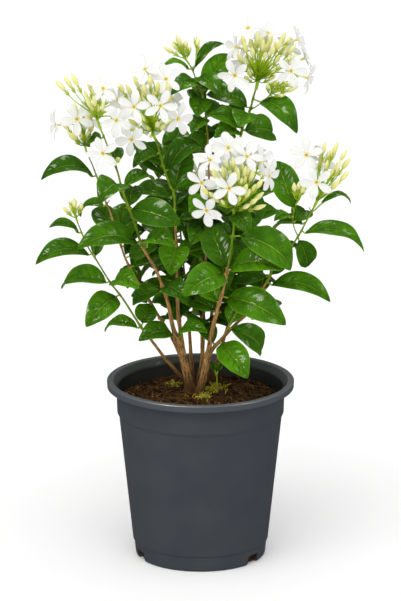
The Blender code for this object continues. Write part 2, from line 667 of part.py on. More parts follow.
def make_pot(collection, cutters, material):
    """The turned pot with its skirted rim, collar step, foot and three drainage notches."""
    foot = POT_FOOT_TOP_RADIUS - POT_FOOT_STEP
    collar_low = POT_COLLAR_HEIGHT - POT_STEP * 2
    shelf = POT_HEIGHT - POT_SKIRT_HEIGHT
    profile = [
        (0, POT_FLOOR),
        (pot_inner_radius(POT_FLOOR), POT_FLOOR),
        (pot_inner_radius(POT_FOOT_HEIGHT), POT_FOOT_HEIGHT),
        (pot_inner_radius(POT_COLLAR_HEIGHT), POT_COLLAR_HEIGHT),
        (POT_COLLAR_TOP_RADIUS - POT_WALL, shelf),
        (POT_LIP_RADIUS, POT_HEIGHT),
        (POT_RIM_RADIUS - POT_EDGE, POT_HEIGHT),
        (POT_RIM_RADIUS, POT_HEIGHT - POT_EDGE),
        (POT_RIM_RADIUS - POT_EDGE / 2, shelf),
        (POT_COLLAR_TOP_RADIUS, shelf),
        (POT_COLLAR_RADIUS, POT_COLLAR_HEIGHT),
        (pot_outer_radius(collar_low), collar_low),
        (POT_FOOT_TOP_RADIUS, POT_FOOT_HEIGHT + POT_EDGE),
        (foot, POT_FOOT_HEIGHT),
        (POT_BASE_RADIUS + POT_EDGE * 2, POT_BASE_EDGE),
        (POT_BASE_RADIUS, 0),
        (0, 0),
    ]
    pot = ring_profile("pot", profile, POT_SIDES, collection)
    pot.data.materials.append(material)
    for number, azimuth in enumerate(NOTCH_AZIMUTHS):
        box = bmesh.new()
        bmesh.ops.create_cube(box, size=1.0)
        notch = add_object(f"notch_cutter_{number}", mesh_from(box, "notch"), cutters)
        angle = math.radians(azimuth - 90)
        middle = Vector((POT_BASE_RADIUS + NOTCH_OVERCUT - NOTCH_DEPTH / 2, 0,
                         (NOTCH_HEIGHT - NOTCH_OVERCUT) / 2))
        size = Vector((NOTCH_DEPTH + NOTCH_OVERCUT * 2, NOTCH_WIDTH,
                       NOTCH_HEIGHT + NOTCH_OVERCUT))
        notch.matrix_world = (Matrix.Rotation(angle, 4, "Z") @ Matrix.Translation(middle)
                              @ Matrix.Diagonal(size.to_4d()))
        notch.hide_render = True
        notch.display_type = "WIRE"
    cut(pot, cutters)
    return pot


def soil_height(radius, angle):
    """The top of the soil: a gentle mound with low lumps on it."""
    share = min(radius / (pot_inner_radius(SOIL_LEVEL) - SEAT), 1.0)
    place = Vector((radius * math.cos(angle), radius * math.sin(angle), 0)) / SOIL_CRUMB_SIZE
    crumb = noise.noise(place) * SOIL_CRUMB * (1 - share)
    return SOIL_LEVEL + SOIL_MOUND * (1 - share * share) + crumb


def make_soil(collection, cutters, material):
    """The soil fills the pot from its floor to a mound round the stems."""
    floor = POT_FLOOR + SEAT
    wall_heights = (floor, POT_FOOT_HEIGHT, POT_COLLAR_HEIGHT)
    profile = [(ring, SOIL_LEVEL) for ring in SOIL_RINGS]
    profile += [(pot_inner_radius(SOIL_LEVEL) - SEAT, SOIL_LEVEL)]
    profile += [(pot_inner_radius(z) - SEAT, z) for z in reversed(wall_heights)]
    profile += [(0, floor)]
    soil = ring_profile("soil", profile, POT_SIDES, collection)
    for vertex in soil.data.vertices:
        radius = math.hypot(vertex.co.x, vertex.co.y)
        if vertex.co.z > SOIL_LEVEL - SEAT and radius < SOIL_RINGS[-1] + SEAT:
            vertex.co.z = soil_height(radius, math.atan2(vertex.co.y, vertex.co.x))
    soil.data.materials.append(material)
    cut(soil, cutters)
    return soil


def add_hole(cutters, top, bottom, radius, number):
    """A plain hole in the soil for one stem, a little wider and deeper than it."""
    run = top - bottom
    lower = bottom - run.normalized() * SEAT
    upper = top + run.normalized() * HOLE_RISE
    span = upper - lower
    bm = bmesh.new()
    corner = radius / math.cos(math.pi / HOLE_SIDES)
    bmesh.ops.create_cone(bm, cap_ends=True, segments=HOLE_SIDES, radius1=corner,
                          radius2=corner, depth=span.length)
    turn = span.to_track_quat("Z", "Y").to_matrix().to_4x4()
    bm.transform(Matrix.Translation((upper + lower) / 2) @ turn)
    hole = add_object(f"hole_cutter_{number}", mesh_from(bm, "hole"), cutters)
    hole.hide_render = True
    hole.display_type = "WIRE"


def branch_route(row, in_soil):
    """The route of a branch in metres and its radius at each point, roots straight down."""
    first, last, pixels = row
    points = [spot(*pixel) for pixel in pixels]
    route = smooth_route(points, ROUTE_STEP)
    if in_soil:
        route.insert(0, points[0] - Vector((0, 0, ROOT_DEPTH)))
    total = len(route) - 1
    radii = [(first + (last - first) * i / total) * MM for i in range(total + 1)]
    return route, radii


def thinned(route, radii):
    """A route without the points that lie nearly on the line between their neighbours."""
    kept = [0, 1]
    for i in range(2, len(route) - 1):
        start, end = route[kept[-1]], route[i + 1]
        run = (end - start).normalized()
        offs = [(point - start) - run * (point - start).dot(run)
                for point in route[kept[-1] + 1:i + 1]]
        if max(off.length for off in offs) > BEND_GAP:
            kept.append(i)
    kept.append(len(route) - 1)
    return [route[i] for i in kept], [radii[i] for i in kept]


def attach_point(route, u, v):
    """The point of a route that is seen nearest to a pixel, for a leaf to grow from."""
    best, best_gap = route[0], math.inf
    end_gap = (route[-1] - route[-2]).normalized() * LEAF_END_GAP
    for start, end in zip(route, route[1:-1] + [route[-1] - end_gap]):
        for k in range(SEARCH_STEPS + 1):
            point = start.lerp(end, k / SEARCH_STEPS)
            gap = (spot(u, v, point.y / MM) - point).length
            if gap < best_gap:
                best, best_gap = point, gap
    return best


def lay_leaf(route, row, nudge):
    """A leaf's frame: where it roots, its base and tip, and the way its upper face points."""
    bu, bv, tu, tv, length, width, lean, face, arch = row
    d_tip, d_face, d_u, d_v = nudge
    root = attach_point(route, bu, bv)
    base = spot(bu, bv, root.y / MM)
    tip = spot_at_length(tu + d_u, tv + d_v, base, length * MM, lean)
    tip = spot(tu + d_u, tv + d_v, tip.y / MM + d_tip)
    if (base - root).length < PETIOLE_LENGTH:
        base = root + (tip - root).normalized() * PETIOLE_LENGTH
    chord = (tip - base).normalized()
    angle = math.radians(face + d_face)
    viewer = Vector((0, -math.cos(VIEW_TILT), math.sin(VIEW_TILT)))
    wish = Vector((0, 0, math.cos(angle))) + viewer * math.sin(angle)
    normal = (wish - chord * wish.dot(chord)).normalized()
    return {"root": root, "base": base, "tip": tip, "chord": chord, "normal": normal,
            "arch": arch * (tip - base).length, "width": width * MM, "length": length * MM}


def blade_half_width(leaf, t):
    """Half the width of a leaf's blade at a share of its length."""
    if t <= 0:
        return PETIOLE_WIDTH / 2
    fullest, fullness = BLADE_OUTLINE
    outline = max(math.sin(math.pi * min(t, 1.0) ** fullest), 0.0) ** fullness
    return max(leaf["width"] / 2 * outline, PETIOLE_WIDTH / 2 * (1 - t))


def blade_frame(leaf, t):
    """The midrib's point, its upward direction and its sideways direction at a share."""
    length = (leaf["tip"] - leaf["base"]).length
    lift = leaf["normal"] * leaf["arch"]
    p0, p3 = leaf["base"], leaf["tip"]
    p1, p2 = (p0 + leaf["chord"] * length * share + lift * rise for share, rise in BLADE_BEND)
    s = 1 - t
    point = p0 * s ** 3 + p1 * 3 * s * s * t + p2 * 3 * s * t * t + p3 * t ** 3
    run = ((p1 - p0) * 3 * s * s + (p2 - p1) * 6 * s * t + (p3 - p2) * 3 * t * t).normalized()
    up = (leaf["normal"] - run * leaf["normal"].dot(run)).normalized()
    return point, up, run.cross(up)


def blade_place(leaf, t, across):
    """A point of the folded blade, from its length share and its share of half the width."""
    point, up, side = blade_frame(leaf, t)
    offset = across * blade_half_width(leaf, t)
    return point + side * offset * math.cos(BLADE_FOLD) + up * abs(offset) * math.sin(BLADE_FOLD)


def facing(right, up):
    """A direction given as degrees to the right of the viewer and degrees upwards."""
    turn, rise = math.radians(right), math.radians(up)
    return Vector((math.sin(turn) * math.cos(rise), -math.cos(turn) * math.cos(rise),
                   math.sin(rise)))


def flower_matrix(flower):
    """The place and turn of a flower, from its centre, the way it faces and its spin."""
    turn = flower["face"].to_track_quat("Z", "Y").to_matrix().to_4x4()
    return Matrix.Translation(flower["centre"]) @ turn @ Matrix.Rotation(flower["spin"], 4, "Z")


def lay_flower(hub, row, nudge, spin):
    """A flower's frame: its pedicel and tube from the hub, and the way it faces."""
    u, v, depth, right, up = row
    centre = spot(u, v, depth + nudge[0])
    face = facing(right + nudge[1], up + nudge[2])
    throat = centre - face * TUBE_LENGTH
    out = (throat - hub).normalized()
    sunk = hub + out * HUB_RADIUS * HUB_SINK
    seat = centre + face * (LOBE_SHAPE[0][1] * LOBE_RISE - FLOWER_THICKNESS * 0.5)
    route = [sunk, throat, seat]
    return {"centre": centre, "face": face, "spin": spin, "route": route}


def lay_bud(hub, row, nudge):
    """A bud's frame: its pedicel from the hub, then its swollen part up to its tip."""
    tip = spot(row[0], row[1], row[2] + nudge[0])
    out = (tip - hub).normalized()
    length = min(BUD_LENGTH, (tip - hub).length * BUD_SHARE)
    return {"route": [hub + out * HUB_RADIUS * HUB_SINK, tip - out * length * BUD_SWELL, tip]}


def search_tree(points, faces):
    """A search tree over triangles, with its lowest and highest corners."""
    low = [min(point[k] for point in points) for k in range(3)]
    high = [max(point[k] for point in points) for k in range(3)]
    return BVHTree.FromPolygons(points, faces), low, high


def prism_tree(route, radii):
    """The search tree of a three-sided prism round a route, a quarter wider than it."""
    points, faces = [], []
    for i, (place, radius) in enumerate(zip(route, radii)):
        run = (route[min(i + 1, len(route) - 1)] - route[max(i - 1, 0)]).normalized()
        side = run.orthogonal().normalized()
        for k in range(3):
            turn = Matrix.Rotation(k * math.tau / 3, 3, run)
            points.append(place + (turn @ side) * radius * 1.25)
    for i in range(len(route) - 1):
        for k in range(3):
            a, b = i * 3 + k, i * 3 + (k + 1) % 3
            faces += [(a, b, b + 3), (a, b + 3, a + 3)]
    return search_tree(points, faces)


def blade_tree(leaf, gap):
    """The search tree of a leaf's blade, as two sheets a little apart round it."""
    points, faces = [], []
    for layer in (-gap, gap):
        start = len(points)
        for t in TEST_STATIONS:
            lift = blade_frame(leaf, t)[1] * layer
            points += [blade_place(leaf, t, across * TEST_MARGIN) + lift
                       for across in (-1, 0, 1)]
        for i in range(len(TEST_STATIONS) - 1):
            for k in (0, 1):
                a = start + i * 3 + k
                faces += [(a, a + 1, a + 4), (a, a + 4, a + 3)]
    return search_tree(points, faces)


def star_points():
    """The outline of a flower's five broad lobes, round its own centre."""
    outline = []
    for lobe in range(LOBES):
        for turn, reach in LOBE_SHAPE:
            angle = math.tau * lobe / LOBES + math.radians(turn)
            radius = reach * FLOWER_RADIUS
            outline.append(Vector((math.cos(angle) * radius, math.sin(angle) * radius,
                                   reach * LOBE_RISE)))
    return outline


def star_tree(flower, gap):
    """The search tree of a flower's lobes, as two sheets a little apart."""
    matrix = flower_matrix(flower)
    outline = star_points()
    points, faces = [], []
    for layer in (-gap, gap):
        start = len(points)
        points.append(matrix @ Vector((0, 0, layer)))
        points += [matrix @ (corner * TEST_MARGIN + Vector((0, 0, layer)))
                   for corner in outline]
        for k in range(len(outline)):
            faces.append((start, start + 1 + k, start + 1 + (k + 1) % len(outline)))
    return search_tree(points, faces)


def boxes_meet(a, b):
    return all(a[1][k] < b[2][k] and b[1][k] < a[2][k] for k in range(3))


def crossings(tree, obstacles):
    """How many pairs of triangles a tree has in common with the obstacles."""
    return sum(len(tree[0].overlap(other[0])) for other in obstacles if boxes_meet(tree, other))


def above_pot(leaf):
    """Whether a leaf stays over the pot's rim, or inside it and over the soil."""
    for t in TEST_STATIONS:
        for across in (-1, 0, 1):
            place = blade_place(leaf, t, across)
            inside = math.hypot(place.x, place.y) < POT_LIP_RADIUS - RIM_INSET
            floor = SOIL_LEVEL + SOIL_MOUND if inside else POT_HEIGHT
            if place.z < floor + RIM_GAP:
                return False
    return True


def ordered_nudges(choices, weights):
    """Every mix of small changes, from none to large."""
    mixes = [()]
    for options in choices:
        mixes = [mix + (option,) for mix in mixes for option in options]
    return sorted(mixes, key=lambda mix: sum(abs(x) * w for x, w in zip(mix, weights)))


def best_fit(nudges, lay, tree_of, allowed, others, own):
    """The first nudge clear of the others and its own kind, else the one that meets least."""
    best, best_score = None, None
    for nudge in nudges:
        piece = lay(nudge)
        if not allowed(piece):
            continue
        trees = tree_of(piece, CLEARANCE / 2)
        hits = sum(crossings(tree, others) for tree in trees)
        if best_score is not None and hits > best_score[0]:
            continue
        own_hits = sum(crossings(tree, own) for tree in trees)
        if hits == 0 and own_hits == 0:
            return piece
        if best_score is None or (hits, own_hits) < best_score:
            best, best_score = piece, (hits, own_hits)
    return best if best_score and best_score[0] == 0 else None


def leaf_trees(leaf, gap):
    return [blade_tree(leaf, gap), prism_tree([leaf["root"].lerp(leaf["base"], 0.5),
                                               leaf["base"]], [PETIOLE_WIDTH / 2 + gap / 2] * 2)]


def flower_trees(flower, gap):
    route = flower["route"]
    start = route[0].lerp(route[1], 0.4)
    return [star_tree(flower, gap),
            prism_tree([start] + route[1:], [gap, TUBE_RADIUS + gap, TUBE_RADIUS + gap])]


def bud_trees(bud, gap):
    route = bud["route"]
    start = route[0].lerp(route[1], 0.4)
    return [prism_tree([start] + route[1:], [gap, BUD_RADIUS + gap, gap])]


def stalk_route(row, hub, branches):
    """Where a head's stalk seats on its stem: on the cut end, or beside the stem."""
    route, radii = branches[row["stem"] or ("stem_left", "front")]
    if row["stem"]:
        out = (route[-1] - route[-2]).normalized()
        start = route[-1] + out * SEAT
        return [start, start + out * STALK_SEAT, hub], radii[-1]
    places = [(route[i].lerp(route[i + 1], k / SEARCH_STEPS), radii[i])
              for i in range(len(route) - 1) for k in range(SEARCH_STEPS + 1)]
    point, radius = min(places, key=lambda place: (place[0] - hub).length)
    out = (hub - point).normalized()
    return [point + out * (radius + SEAT), hub], SIDE_STALK_RADIUS


def grow_plan():
    """The routes of all branches, then the clear places of all flowers, buds and leaves."""
    branches = {}
    for stem, parts in STEMS.items():
        for number, (branch, row) in enumerate(parts.items()):
            branches[stem, branch] = branch_route(row, in_soil=number == 0)
    stem_trees = {key: prism_tree(*branch) for key, branch in branches.items()}
    head_trees = {name: [] for name in HEADS}
    heads = {}
    for name, row in HEADS.items():
        hub = spot(*row["hub"])
        others = [tree for key, tree in stem_trees.items() if key != row["stem"]]
        if row["stem"]:
            route, radii = branches[row["stem"]]
            end_gap = (route[-1] - route[-2]).normalized() * HEAD_END_GAP
            others.append(prism_tree(route[:-1] + [route[-1] - end_gap], radii))
        stalk, radius = stalk_route(row, hub, branches)
        own = [prism_tree(stalk[-2:], [radius] * 2)]
        head_trees[name] += own
        spins = random.Random(name)
        placed = {"hub": hub, "flowers": [], "buds": []}
        for kind, lay, trees_of, nudges in (
                ("flowers", lay_flower, flower_trees, FLOWER_NUDGES),
                ("buds", lay_bud, bud_trees, BUD_NUDGES)):
            for spec in row[kind]:
                extra = (spins.uniform(0, math.tau / LOBES),) if kind == "flowers" else ()
                blocks = others + [tree for other, trees in head_trees.items()
                                   if other != name for tree in trees]
                piece = best_fit(nudges, lambda nudge: lay(hub, spec, nudge, *extra),
                                 trees_of, lambda _: True, blocks, head_trees[name])
                if piece:
                    placed[kind].append(piece)
                    head_trees[name] += trees_of(piece, OWN_CLEARANCE)
        heads[name] = placed
    blocks_of_heads = [tree for trees in head_trees.values() for tree in trees]
    leaves = {stem: [] for stem in STEMS}
    placed_trees = {stem: [] for stem in STEMS}
    for (stem, branch), rows in LEAVES.items():
        route = branches[stem, branch][0]
        for row in rows:
            others = blocks_of_heads + [tree for key, tree in stem_trees.items()
                                        if key[0] != stem]
            others += [tree for other, trees in placed_trees.items()
                       if other != stem for tree in trees]
            leaf = best_fit(LEAF_NUDGES, lambda nudge: lay_leaf(route, row, nudge),
                            leaf_trees, above_pot, others, placed_trees[stem])
            if leaf:
                leaves[stem].append(leaf)
                placed_trees[stem] += leaf_trees(leaf, OWN_CLEARANCE)
    return branches, heads, leaves


def leaf_mesh(leaf):
    """A leaf as a folded and arched grid, welded at its ends and given its thickness."""
    stations = MIDDLE_STATIONS
    if leaf["length"] > LARGE_LEAF:
        stations = LARGE_STATIONS
    elif leaf["length"] < SMALL_LEAF:
        stations = SMALL_STATIONS
    rows = len(stations)
    bm = bmesh.new()
    bmesh.ops.create_grid(bm, x_segments=rows, y_segments=2, size=0.5)
    for vertex in bm.verts:
        along = round((vertex.co.x + 0.5) * rows)
        across = round(vertex.co.y * 2)
        if along == 0:
            vertex.co = leaf["root"]
        elif along == rows:
            vertex.co = leaf["tip"]
        elif along == 1 and across == 0:
            vertex.co = blade_place(leaf, stations[0], -1)
        else:
            vertex.co = blade_place(leaf, stations[along - 1], across)
    bmesh.ops.remove_doubles(bm, verts=bm.verts, dist=SEAM_WELD)
    bmesh.ops.triangulate(bm, faces=bm.faces, quad_method="SHORT_EDGE")
    extruded = bmesh.ops.extrude_face_region(bm, geom=bm.faces[:], use_keep_orig=True)
    for item in extruded["geom"]:
        if isinstance(item, bmesh.types.BMVert):
            at_stalk = (item.co - leaf["base"]).length < PETIOLE_WIDTH
            at_stalk = at_stalk or (item.co - leaf["root"]).length < PETIOLE_WIDTH
            depth = PETIOLE_THICKNESS if at_stalk else BLADE_THICKNESS
            item.co = item.co - leaf["normal"] * depth
    bmesh.ops.recalc_face_normals(bm, faces=bm.faces)
    return mesh_from(bm, "leaf")


def flower_mesh(flower):
    """A flower as a disc whose corners are drawn out to five broad lobes, made thick."""
    bm = bmesh.new()
    bmesh.ops.create_circle(bm, cap_ends=True, segments=len(star_points()), radius=1)
    corners = sorted(bm.verts, key=lambda corner: math.atan2(corner.co.y, corner.co.x))
    outline = sorted(star_points(), key=lambda place: math.atan2(place.y, place.x))
    for corner, place in zip(corners, outline):
        corner.co = place
    bmesh.ops.triangulate(bm, faces=bm.faces, ngon_method="EAR_CLIP")
    extruded = bmesh.ops.extrude_face_region(bm, geom=bm.faces[:], use_keep_orig=True)
    for item in extruded["geom"]:
        if isinstance(item, bmesh.types.BMVert):
            item.co.z -= FLOWER_THICKNESS
    bmesh.ops.recalc_face_normals(bm, faces=bm.faces)
    bm.transform(flower_matrix(flower))
    return mesh_from(bm, "flower")


def head_meshes(row, head, branches):
    """All solids of one head: its stalk, hub, pedicels, flowers and buds."""
    hub = head["hub"]
    stalk, radius = stalk_route(row, hub, branches)
    meshes = [tube_mesh("stalk", stalk, [radius] * len(stalk), 1)]
    ball = bmesh.new()
    bmesh.ops.create_icosphere(ball, subdivisions=1, radius=HUB_RADIUS)
    ball.transform(Matrix.Translation(hub))
    meshes.append(mesh_from(ball, "hub"))
    for flower in head["flowers"]:
        radii = [PEDICEL_RADIUS, TUBE_RADIUS, TUBE_RADIUS]
        meshes.append(tube_mesh("tube", flower["route"], radii, 0))
        meshes.append(flower_mesh(flower))
    for bud in head["buds"]:
        radii = [PEDICEL_RADIUS, BUD_RADIUS, BUD_TIP_RADIUS]
        meshes.append(tube_mesh("bud", bud["route"], radii, 0))
    return meshes


LEAF_NUDGES = ordered_nudges(
    ((0, -8, 8, -16, 16, -26, 26, -38, 38), (0, 18, -18, 36), (0, 4, -4, 8, -8),
     (0, 4, -4, 8, -8)), (0.125, 0.07, 0.4, 0.4))
FLOWER_NUDGES = ordered_nudges(
    ((0, -5, 5, -10, 10, -16, 16, 22), (0, 14, -14, 28, -28), (0, 14, -14, 28, -28)),
    (0.2, 0.07, 0.07))
BUD_NUDGES = [(0,), (-4,), (4,), (-8,), (8,), (-13,), (13,), (-18,), (18,)]


def clear_scene():
    for item in list(bpy.data.objects):
        bpy.data.objects.remove(item)


def main():
    clear_scene()
    scene_root = bpy.context.scene.collection
    plant = bpy.data.collections.new("potted_arabian_jasmine")
    pot_cutters = bpy.data.collections.new("pot_cutters")
    soil_cutters = bpy.data.collections.new("soil_cutters")
    work = bpy.data.collections.new("union_work")
    for collection in (plant, pot_cutters, soil_cutters, work):
        scene_root.children.link(collection)
    pot_material = make_material("pot_plastic", POT_COLOUR, 0.45)
    soil_material = make_material("soil", SOIL_COLOUR, 0.95)
    leaf_material = make_material("leaf", LEAF_COLOUR, 0.35)
    petal_material = make_material("petal", PETAL_COLOUR, 0.6)
    bud_material = make_material("bud", BUD_COLOUR, 0.55)

    make_pot(plant, pot_cutters, pot_material)
    make_soil(plant, soil_cutters, soil_material)
    branches, heads, leaves = grow_plan()

    for number, (stem, parts) in enumerate(STEMS.items()):
        tubes = []
        for branch, row in parts.items():
            route, radii = branches[stem, branch]
            resolution = 1 if row[0] > TWIG_RADIUS else 0
            tubes.append(tube_mesh(branch, *thinned(route, radii), resolution))
        route, radii = branches[stem, next(iter(parts))]
        add_hole(soil_cutters, route[1], route[0], radii[0] + HOLE_PLAY, number)
        fuse(stem, tubes + [leaf_mesh(leaf) for leaf in leaves[stem]], plant, work, leaf_material)
    for name, head in heads.items():
        material = petal_material if head["flowers"] else bud_material
        fuse(name, head_meshes(HEADS[name], head, branches), plant, work, material)

    sprout = [spot(*pixel) for pixel in SEEDLING_STEM]
    sprout.insert(0, sprout[0] - Vector((0, 0, SPROUT_ROOT)))
    add_hole(soil_cutters, sprout[1], sprout[0], SPROUT_RADIUS + SEAT, len(STEMS))
    pieces = [tube_mesh("sprout", sprout, [SPROUT_RADIUS] * len(sprout), 0)]
    for row in SEEDLING_LEAVES:
        pieces.append(leaf_mesh(lay_leaf(sprout, row, (0, 0, 0, 0))))
    fuse("seedling", pieces, plant, work, leaf_material)

    bpy.data.collections.remove(work)


main()
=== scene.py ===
"""The finished pieces of a potted Arabian jasmine: pot, soil, bark, leaves, flowers and buds.

Metres, +Z up. The origin is the centre of the pot's underside and the viewer stands on -Y.
The growth plan repeats the routes and places of the solids that these pieces stand for.
"""

import math
import random

import bpy
from bpy.props import FloatProperty, FloatVectorProperty, IntProperty, PointerProperty
from mathutils import Matrix, Vector, noise
from mathutils.bvhtree import BVHTree


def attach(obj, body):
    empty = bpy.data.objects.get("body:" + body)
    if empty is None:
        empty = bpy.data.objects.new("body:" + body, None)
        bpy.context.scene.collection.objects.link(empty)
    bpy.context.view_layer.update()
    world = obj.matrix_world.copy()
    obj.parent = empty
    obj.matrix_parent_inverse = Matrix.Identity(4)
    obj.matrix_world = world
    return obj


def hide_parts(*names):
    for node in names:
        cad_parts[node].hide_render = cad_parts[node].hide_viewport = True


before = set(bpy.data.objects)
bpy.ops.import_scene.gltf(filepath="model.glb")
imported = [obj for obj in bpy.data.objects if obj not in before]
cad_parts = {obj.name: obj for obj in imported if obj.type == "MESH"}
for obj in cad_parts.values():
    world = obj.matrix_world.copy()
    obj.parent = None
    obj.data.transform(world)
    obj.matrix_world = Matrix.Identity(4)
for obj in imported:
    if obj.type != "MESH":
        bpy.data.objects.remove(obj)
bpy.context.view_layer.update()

bl_info = {
    "name": "Potted Arabian Jasmine",
    "version": (1, 0, 0),
    "blender": (4, 5, 0),
    "location": "View3D > Sidebar > Jasmine",
    "description": "Models the pot, soil, bark, leaves, flowers and buds of a potted jasmine",
    "category": "Object",
}

MM = 0.001

# How finely the pieces are modelled
POT_RING = 128
SOIL_RING = 240
SOIL_TOP_RINGS = 84
BARK_STEP = 2.2 * MM
BARK_SIDES = 14
BLADE_GRID = (14, 34)
SHADE_GRID = (8, 20)
RIB_GRID = (5, 15)
PETAL_GRID = (8, 11)
PEDICEL_GRID = (6, 9)
SEAM = 0.004 * MM

# How the fine forms differ from the plain solids
BLADE_WALL = 0.3 * MM
BLADE_TIP_PINCH = 0.28
BLADE_PINCH_FROM = 0.72
BLADE_ROUNDING = 0.45
BLADE_WAVE = 0.9 * MM
VEIN_PAIRS = 7.0
VEIN_BEND = 0.2
RIB_RADIUS = 0.85 * MM
RIB_TIP_RADIUS = 0.12 * MM
PETAL_WALL = 0.25 * MM
PETAL_WIDTH = 9.3 * MM
PETAL_WIDEST = 0.57
PETAL_FOOT = 1.2 * MM
PETAL_REACH = 0.96
PETAL_CURL_FROM = 0.55
PETAL_CREASE = 0.25 * MM
PETAL_CREASE_WIDTH = 0.16
PETAL_THROAT_SHARE = 0.13
THROAT_RADIUS = 1.3 * MM
NECK_RADIUS = 1.0 * MM
BUD_NECK = 4.5 * MM
BUD_NECK_SHARE = 0.12
BUD_LOBE_DEPTH = 0.055
BUD_TWIST = 1.1
CALYX_LENGTH = 2.4 * MM
CALYX_TEETH = 7
CALYX_RADIUS = 1.15 * MM
CALYX_TOOTH_RADII = (0.40 * MM, 0.34 * MM, 0.12 * MM)
STUB_SHARE = 0.55
SHOOT_SLIMMING = 0.45
SLIM_FROM = 165 * MM
SLIM_OVER = 120 * MM
BEND_REACH = 0.38
SHOOT_TIP = ((0.45, 0.9), (0.8, 0.6), (0.95, 0.3))
NODE_SWELL = 0.22
NODE_MOST = 0.3
NODE_REACH = 2.2 * MM
FORK_SWELL = 0.15
FORK_REACH = 7 * MM
GROUND_SWELL = 0.35
GROUND_REACH = 6 * MM
STUB_RADIUS = 0.8 * MM
SPLASH_HEIGHT = 30 * MM
SOIL_LINE_DARK_REACH = 30 * MM

# How loose pieces lie on the soil and behind the notches. A pair of plain numbers is the
# least and the most, in millimetres.
CRUMB_LAYERS = ((7 * MM, 2.1 * MM), (3.1 * MM, 1.5 * MM), (1.5 * MM, 0.6 * MM))
CRUMB_EDGE = 4 * MM
CRUMB_SINK = 0.18
CRUMB_REACH = 81 * MM
FIBRE_REACH = 78 * MM
FIBRE_POINTS = 6
FIBRE_LENGTH = (5, 20)
FIBRE_LIFT = (0.2, 2.2)
FIBRE_RADIUS = (0.18, 0.42)
MOSS_HEIGHT = (2, 5.5)
MOSS_RADII = (0.44 * MM, 0.50 * MM, 0.42 * MM, 0.2 * MM)
ROOT_POINTS = 14
ROOT_RADIUS = 0.75 * MM
ROOT_SWAY = 1.2 * MM
COIR_COUNT = 46
COIR_BACK = 4.2 * MM
COIR_SPREAD = 3.2 * MM
COIR_HALF_WIDTH = 7 * MM
COIR_LOWEST = 0.5 * MM
COIR_RADIUS = 0.28 * MM
COIR_HALF_LENGTH = (1.2, 2.6)

# How parts differ from each other: the least and the most of each measure. Cups, curls,
# reaches and lengths are in millimetres.
PETAL_BREADTH = (0.82, 1.04)
PETAL_CUP = (0.2, 1.2)
PETAL_CURL = (0.2, 2.8)
SMALL_BUD = (0.55, 0.95)
BUD_STRETCH = (0.92, 1.08)
NECK_STRETCH = (0.8, 1.6)
BUD_PLUMPNESS = (0.78, 0.98)
SPENT_REACH = (6, 20)
STUB_LENGTH = (1.2, 3.6)

# Colours within the finishes, beside those that the settings hold
# Painted shade for the pot's inner wall above the soil
POT_PAINTED_SHADE = (0.010, 0.011, 0.013, 1)
MOSS_GREEN = (0.30, 0.32, 0.008, 1)
MOSS_BROWN = (0.20, 0.16, 0.010, 1)
PALE_BARK = (0.68, 0.41, 0.145, 1)
GRIMY_BARK = (0.22, 0.13, 0.045, 1)
DEEP_SHOOT = (0.11, 0.21, 0.012, 1)
UNDERSIDE_BLOTCH = (0.12, 0.22, 0.045, 1)
UNDERSIDE_VEIN = (0.33, 0.44, 0.17, 1)
# The petals' vein lines, also darkened as painted crease shade
PETAL_VEIN_AND_CREASE_SHADE = (0.58, 0.58, 0.50, 1)
PETAL_BLOTCH = (0.72, 0.70, 0.60, 1)
# Painted shade along the petals' edges and tips
PETAL_EDGE_SHADE = (0.52, 0.52, 0.49, 1)
TUBE_GREEN = (0.52, 0.58, 0.13, 1)
BUD_STREAK = (0.91, 0.89, 0.48, 1)
BUD_WARM = (0.80, 0.58, 0.08, 1)
BUD_GREEN = (0.36, 0.46, 0.03, 1)
PAPER_FLECK = (0.85, 0.85, 0.85, 1)

# The stage. The suns shade and the softboxes shine. A sun is the way its light runs and its
# width in degrees. A softbox is its place, its size and its power.
SUNS = {"key": ((0.24, 0.75, -1.20), 50), "fill": ((-0.20, 0.50, -1.1), 60)}
SOFTBOXES = {
    "left softbox": ((-1.2, -1.3, 1.8), 0.9, 76),
    "right softbox": ((1.5, -0.7, 1.5), 0.7, 18),
    "top softbox": ((0.1, 0.7, 2.3), 0.8, 34),
}
SOFTBOX_AIM = (0, 0, 0.3)
SOFTBOX_COLOUR = (1.0, 0.99, 0.84)

# Driving dimensions of the pot, in metres
POT_HEIGHT = 184 * MM
POT_RIM_RADIUS = 95 * MM
POT_LIP_RADIUS = 88.2 * MM
POT_SKIRT_HEIGHT = 7 * MM
POT_COLLAR_TOP_RADIUS = 85.4 * MM
POT_COLLAR_RADIUS = 84.6 * MM
POT_COLLAR_HEIGHT = 151 * MM
POT_STEP = 1.6 * MM
POT_FOOT_TOP_RADIUS = 68.8 * MM
POT_FOOT_HEIGHT = 16 * MM
POT_FOOT_STEP = 1.2 * MM
POT_BASE_RADIUS = 64.5 * MM
POT_WALL = 2.0 * MM
POT_FLOOR = 2.4 * MM
POT_EDGE = 0.8 * MM
POT_BASE_EDGE = 2.0 * MM
NOTCH_WIDTH = 17 * MM
NOTCH_HEIGHT = 10 * MM
NOTCH_DEPTH = 9 * MM
NOTCH_OVERCUT = 4 * MM
NOTCH_AZIMUTHS = (53.6, 173.6, 293.6)

# Driving dimensions of the soil and of what grows in it
SEAT = 0.3 * MM
SOIL_LEVEL = 164 * MM
SOIL_MOUND = 9 * MM
SOIL_CRUMB = 2.4 * MM
SOIL_CRUMB_SIZE = 22 * MM
ROOT_DEPTH = 26 * MM
SPROUT_ROOT = 8 * MM
SPROUT_RADIUS = 0.9 * MM

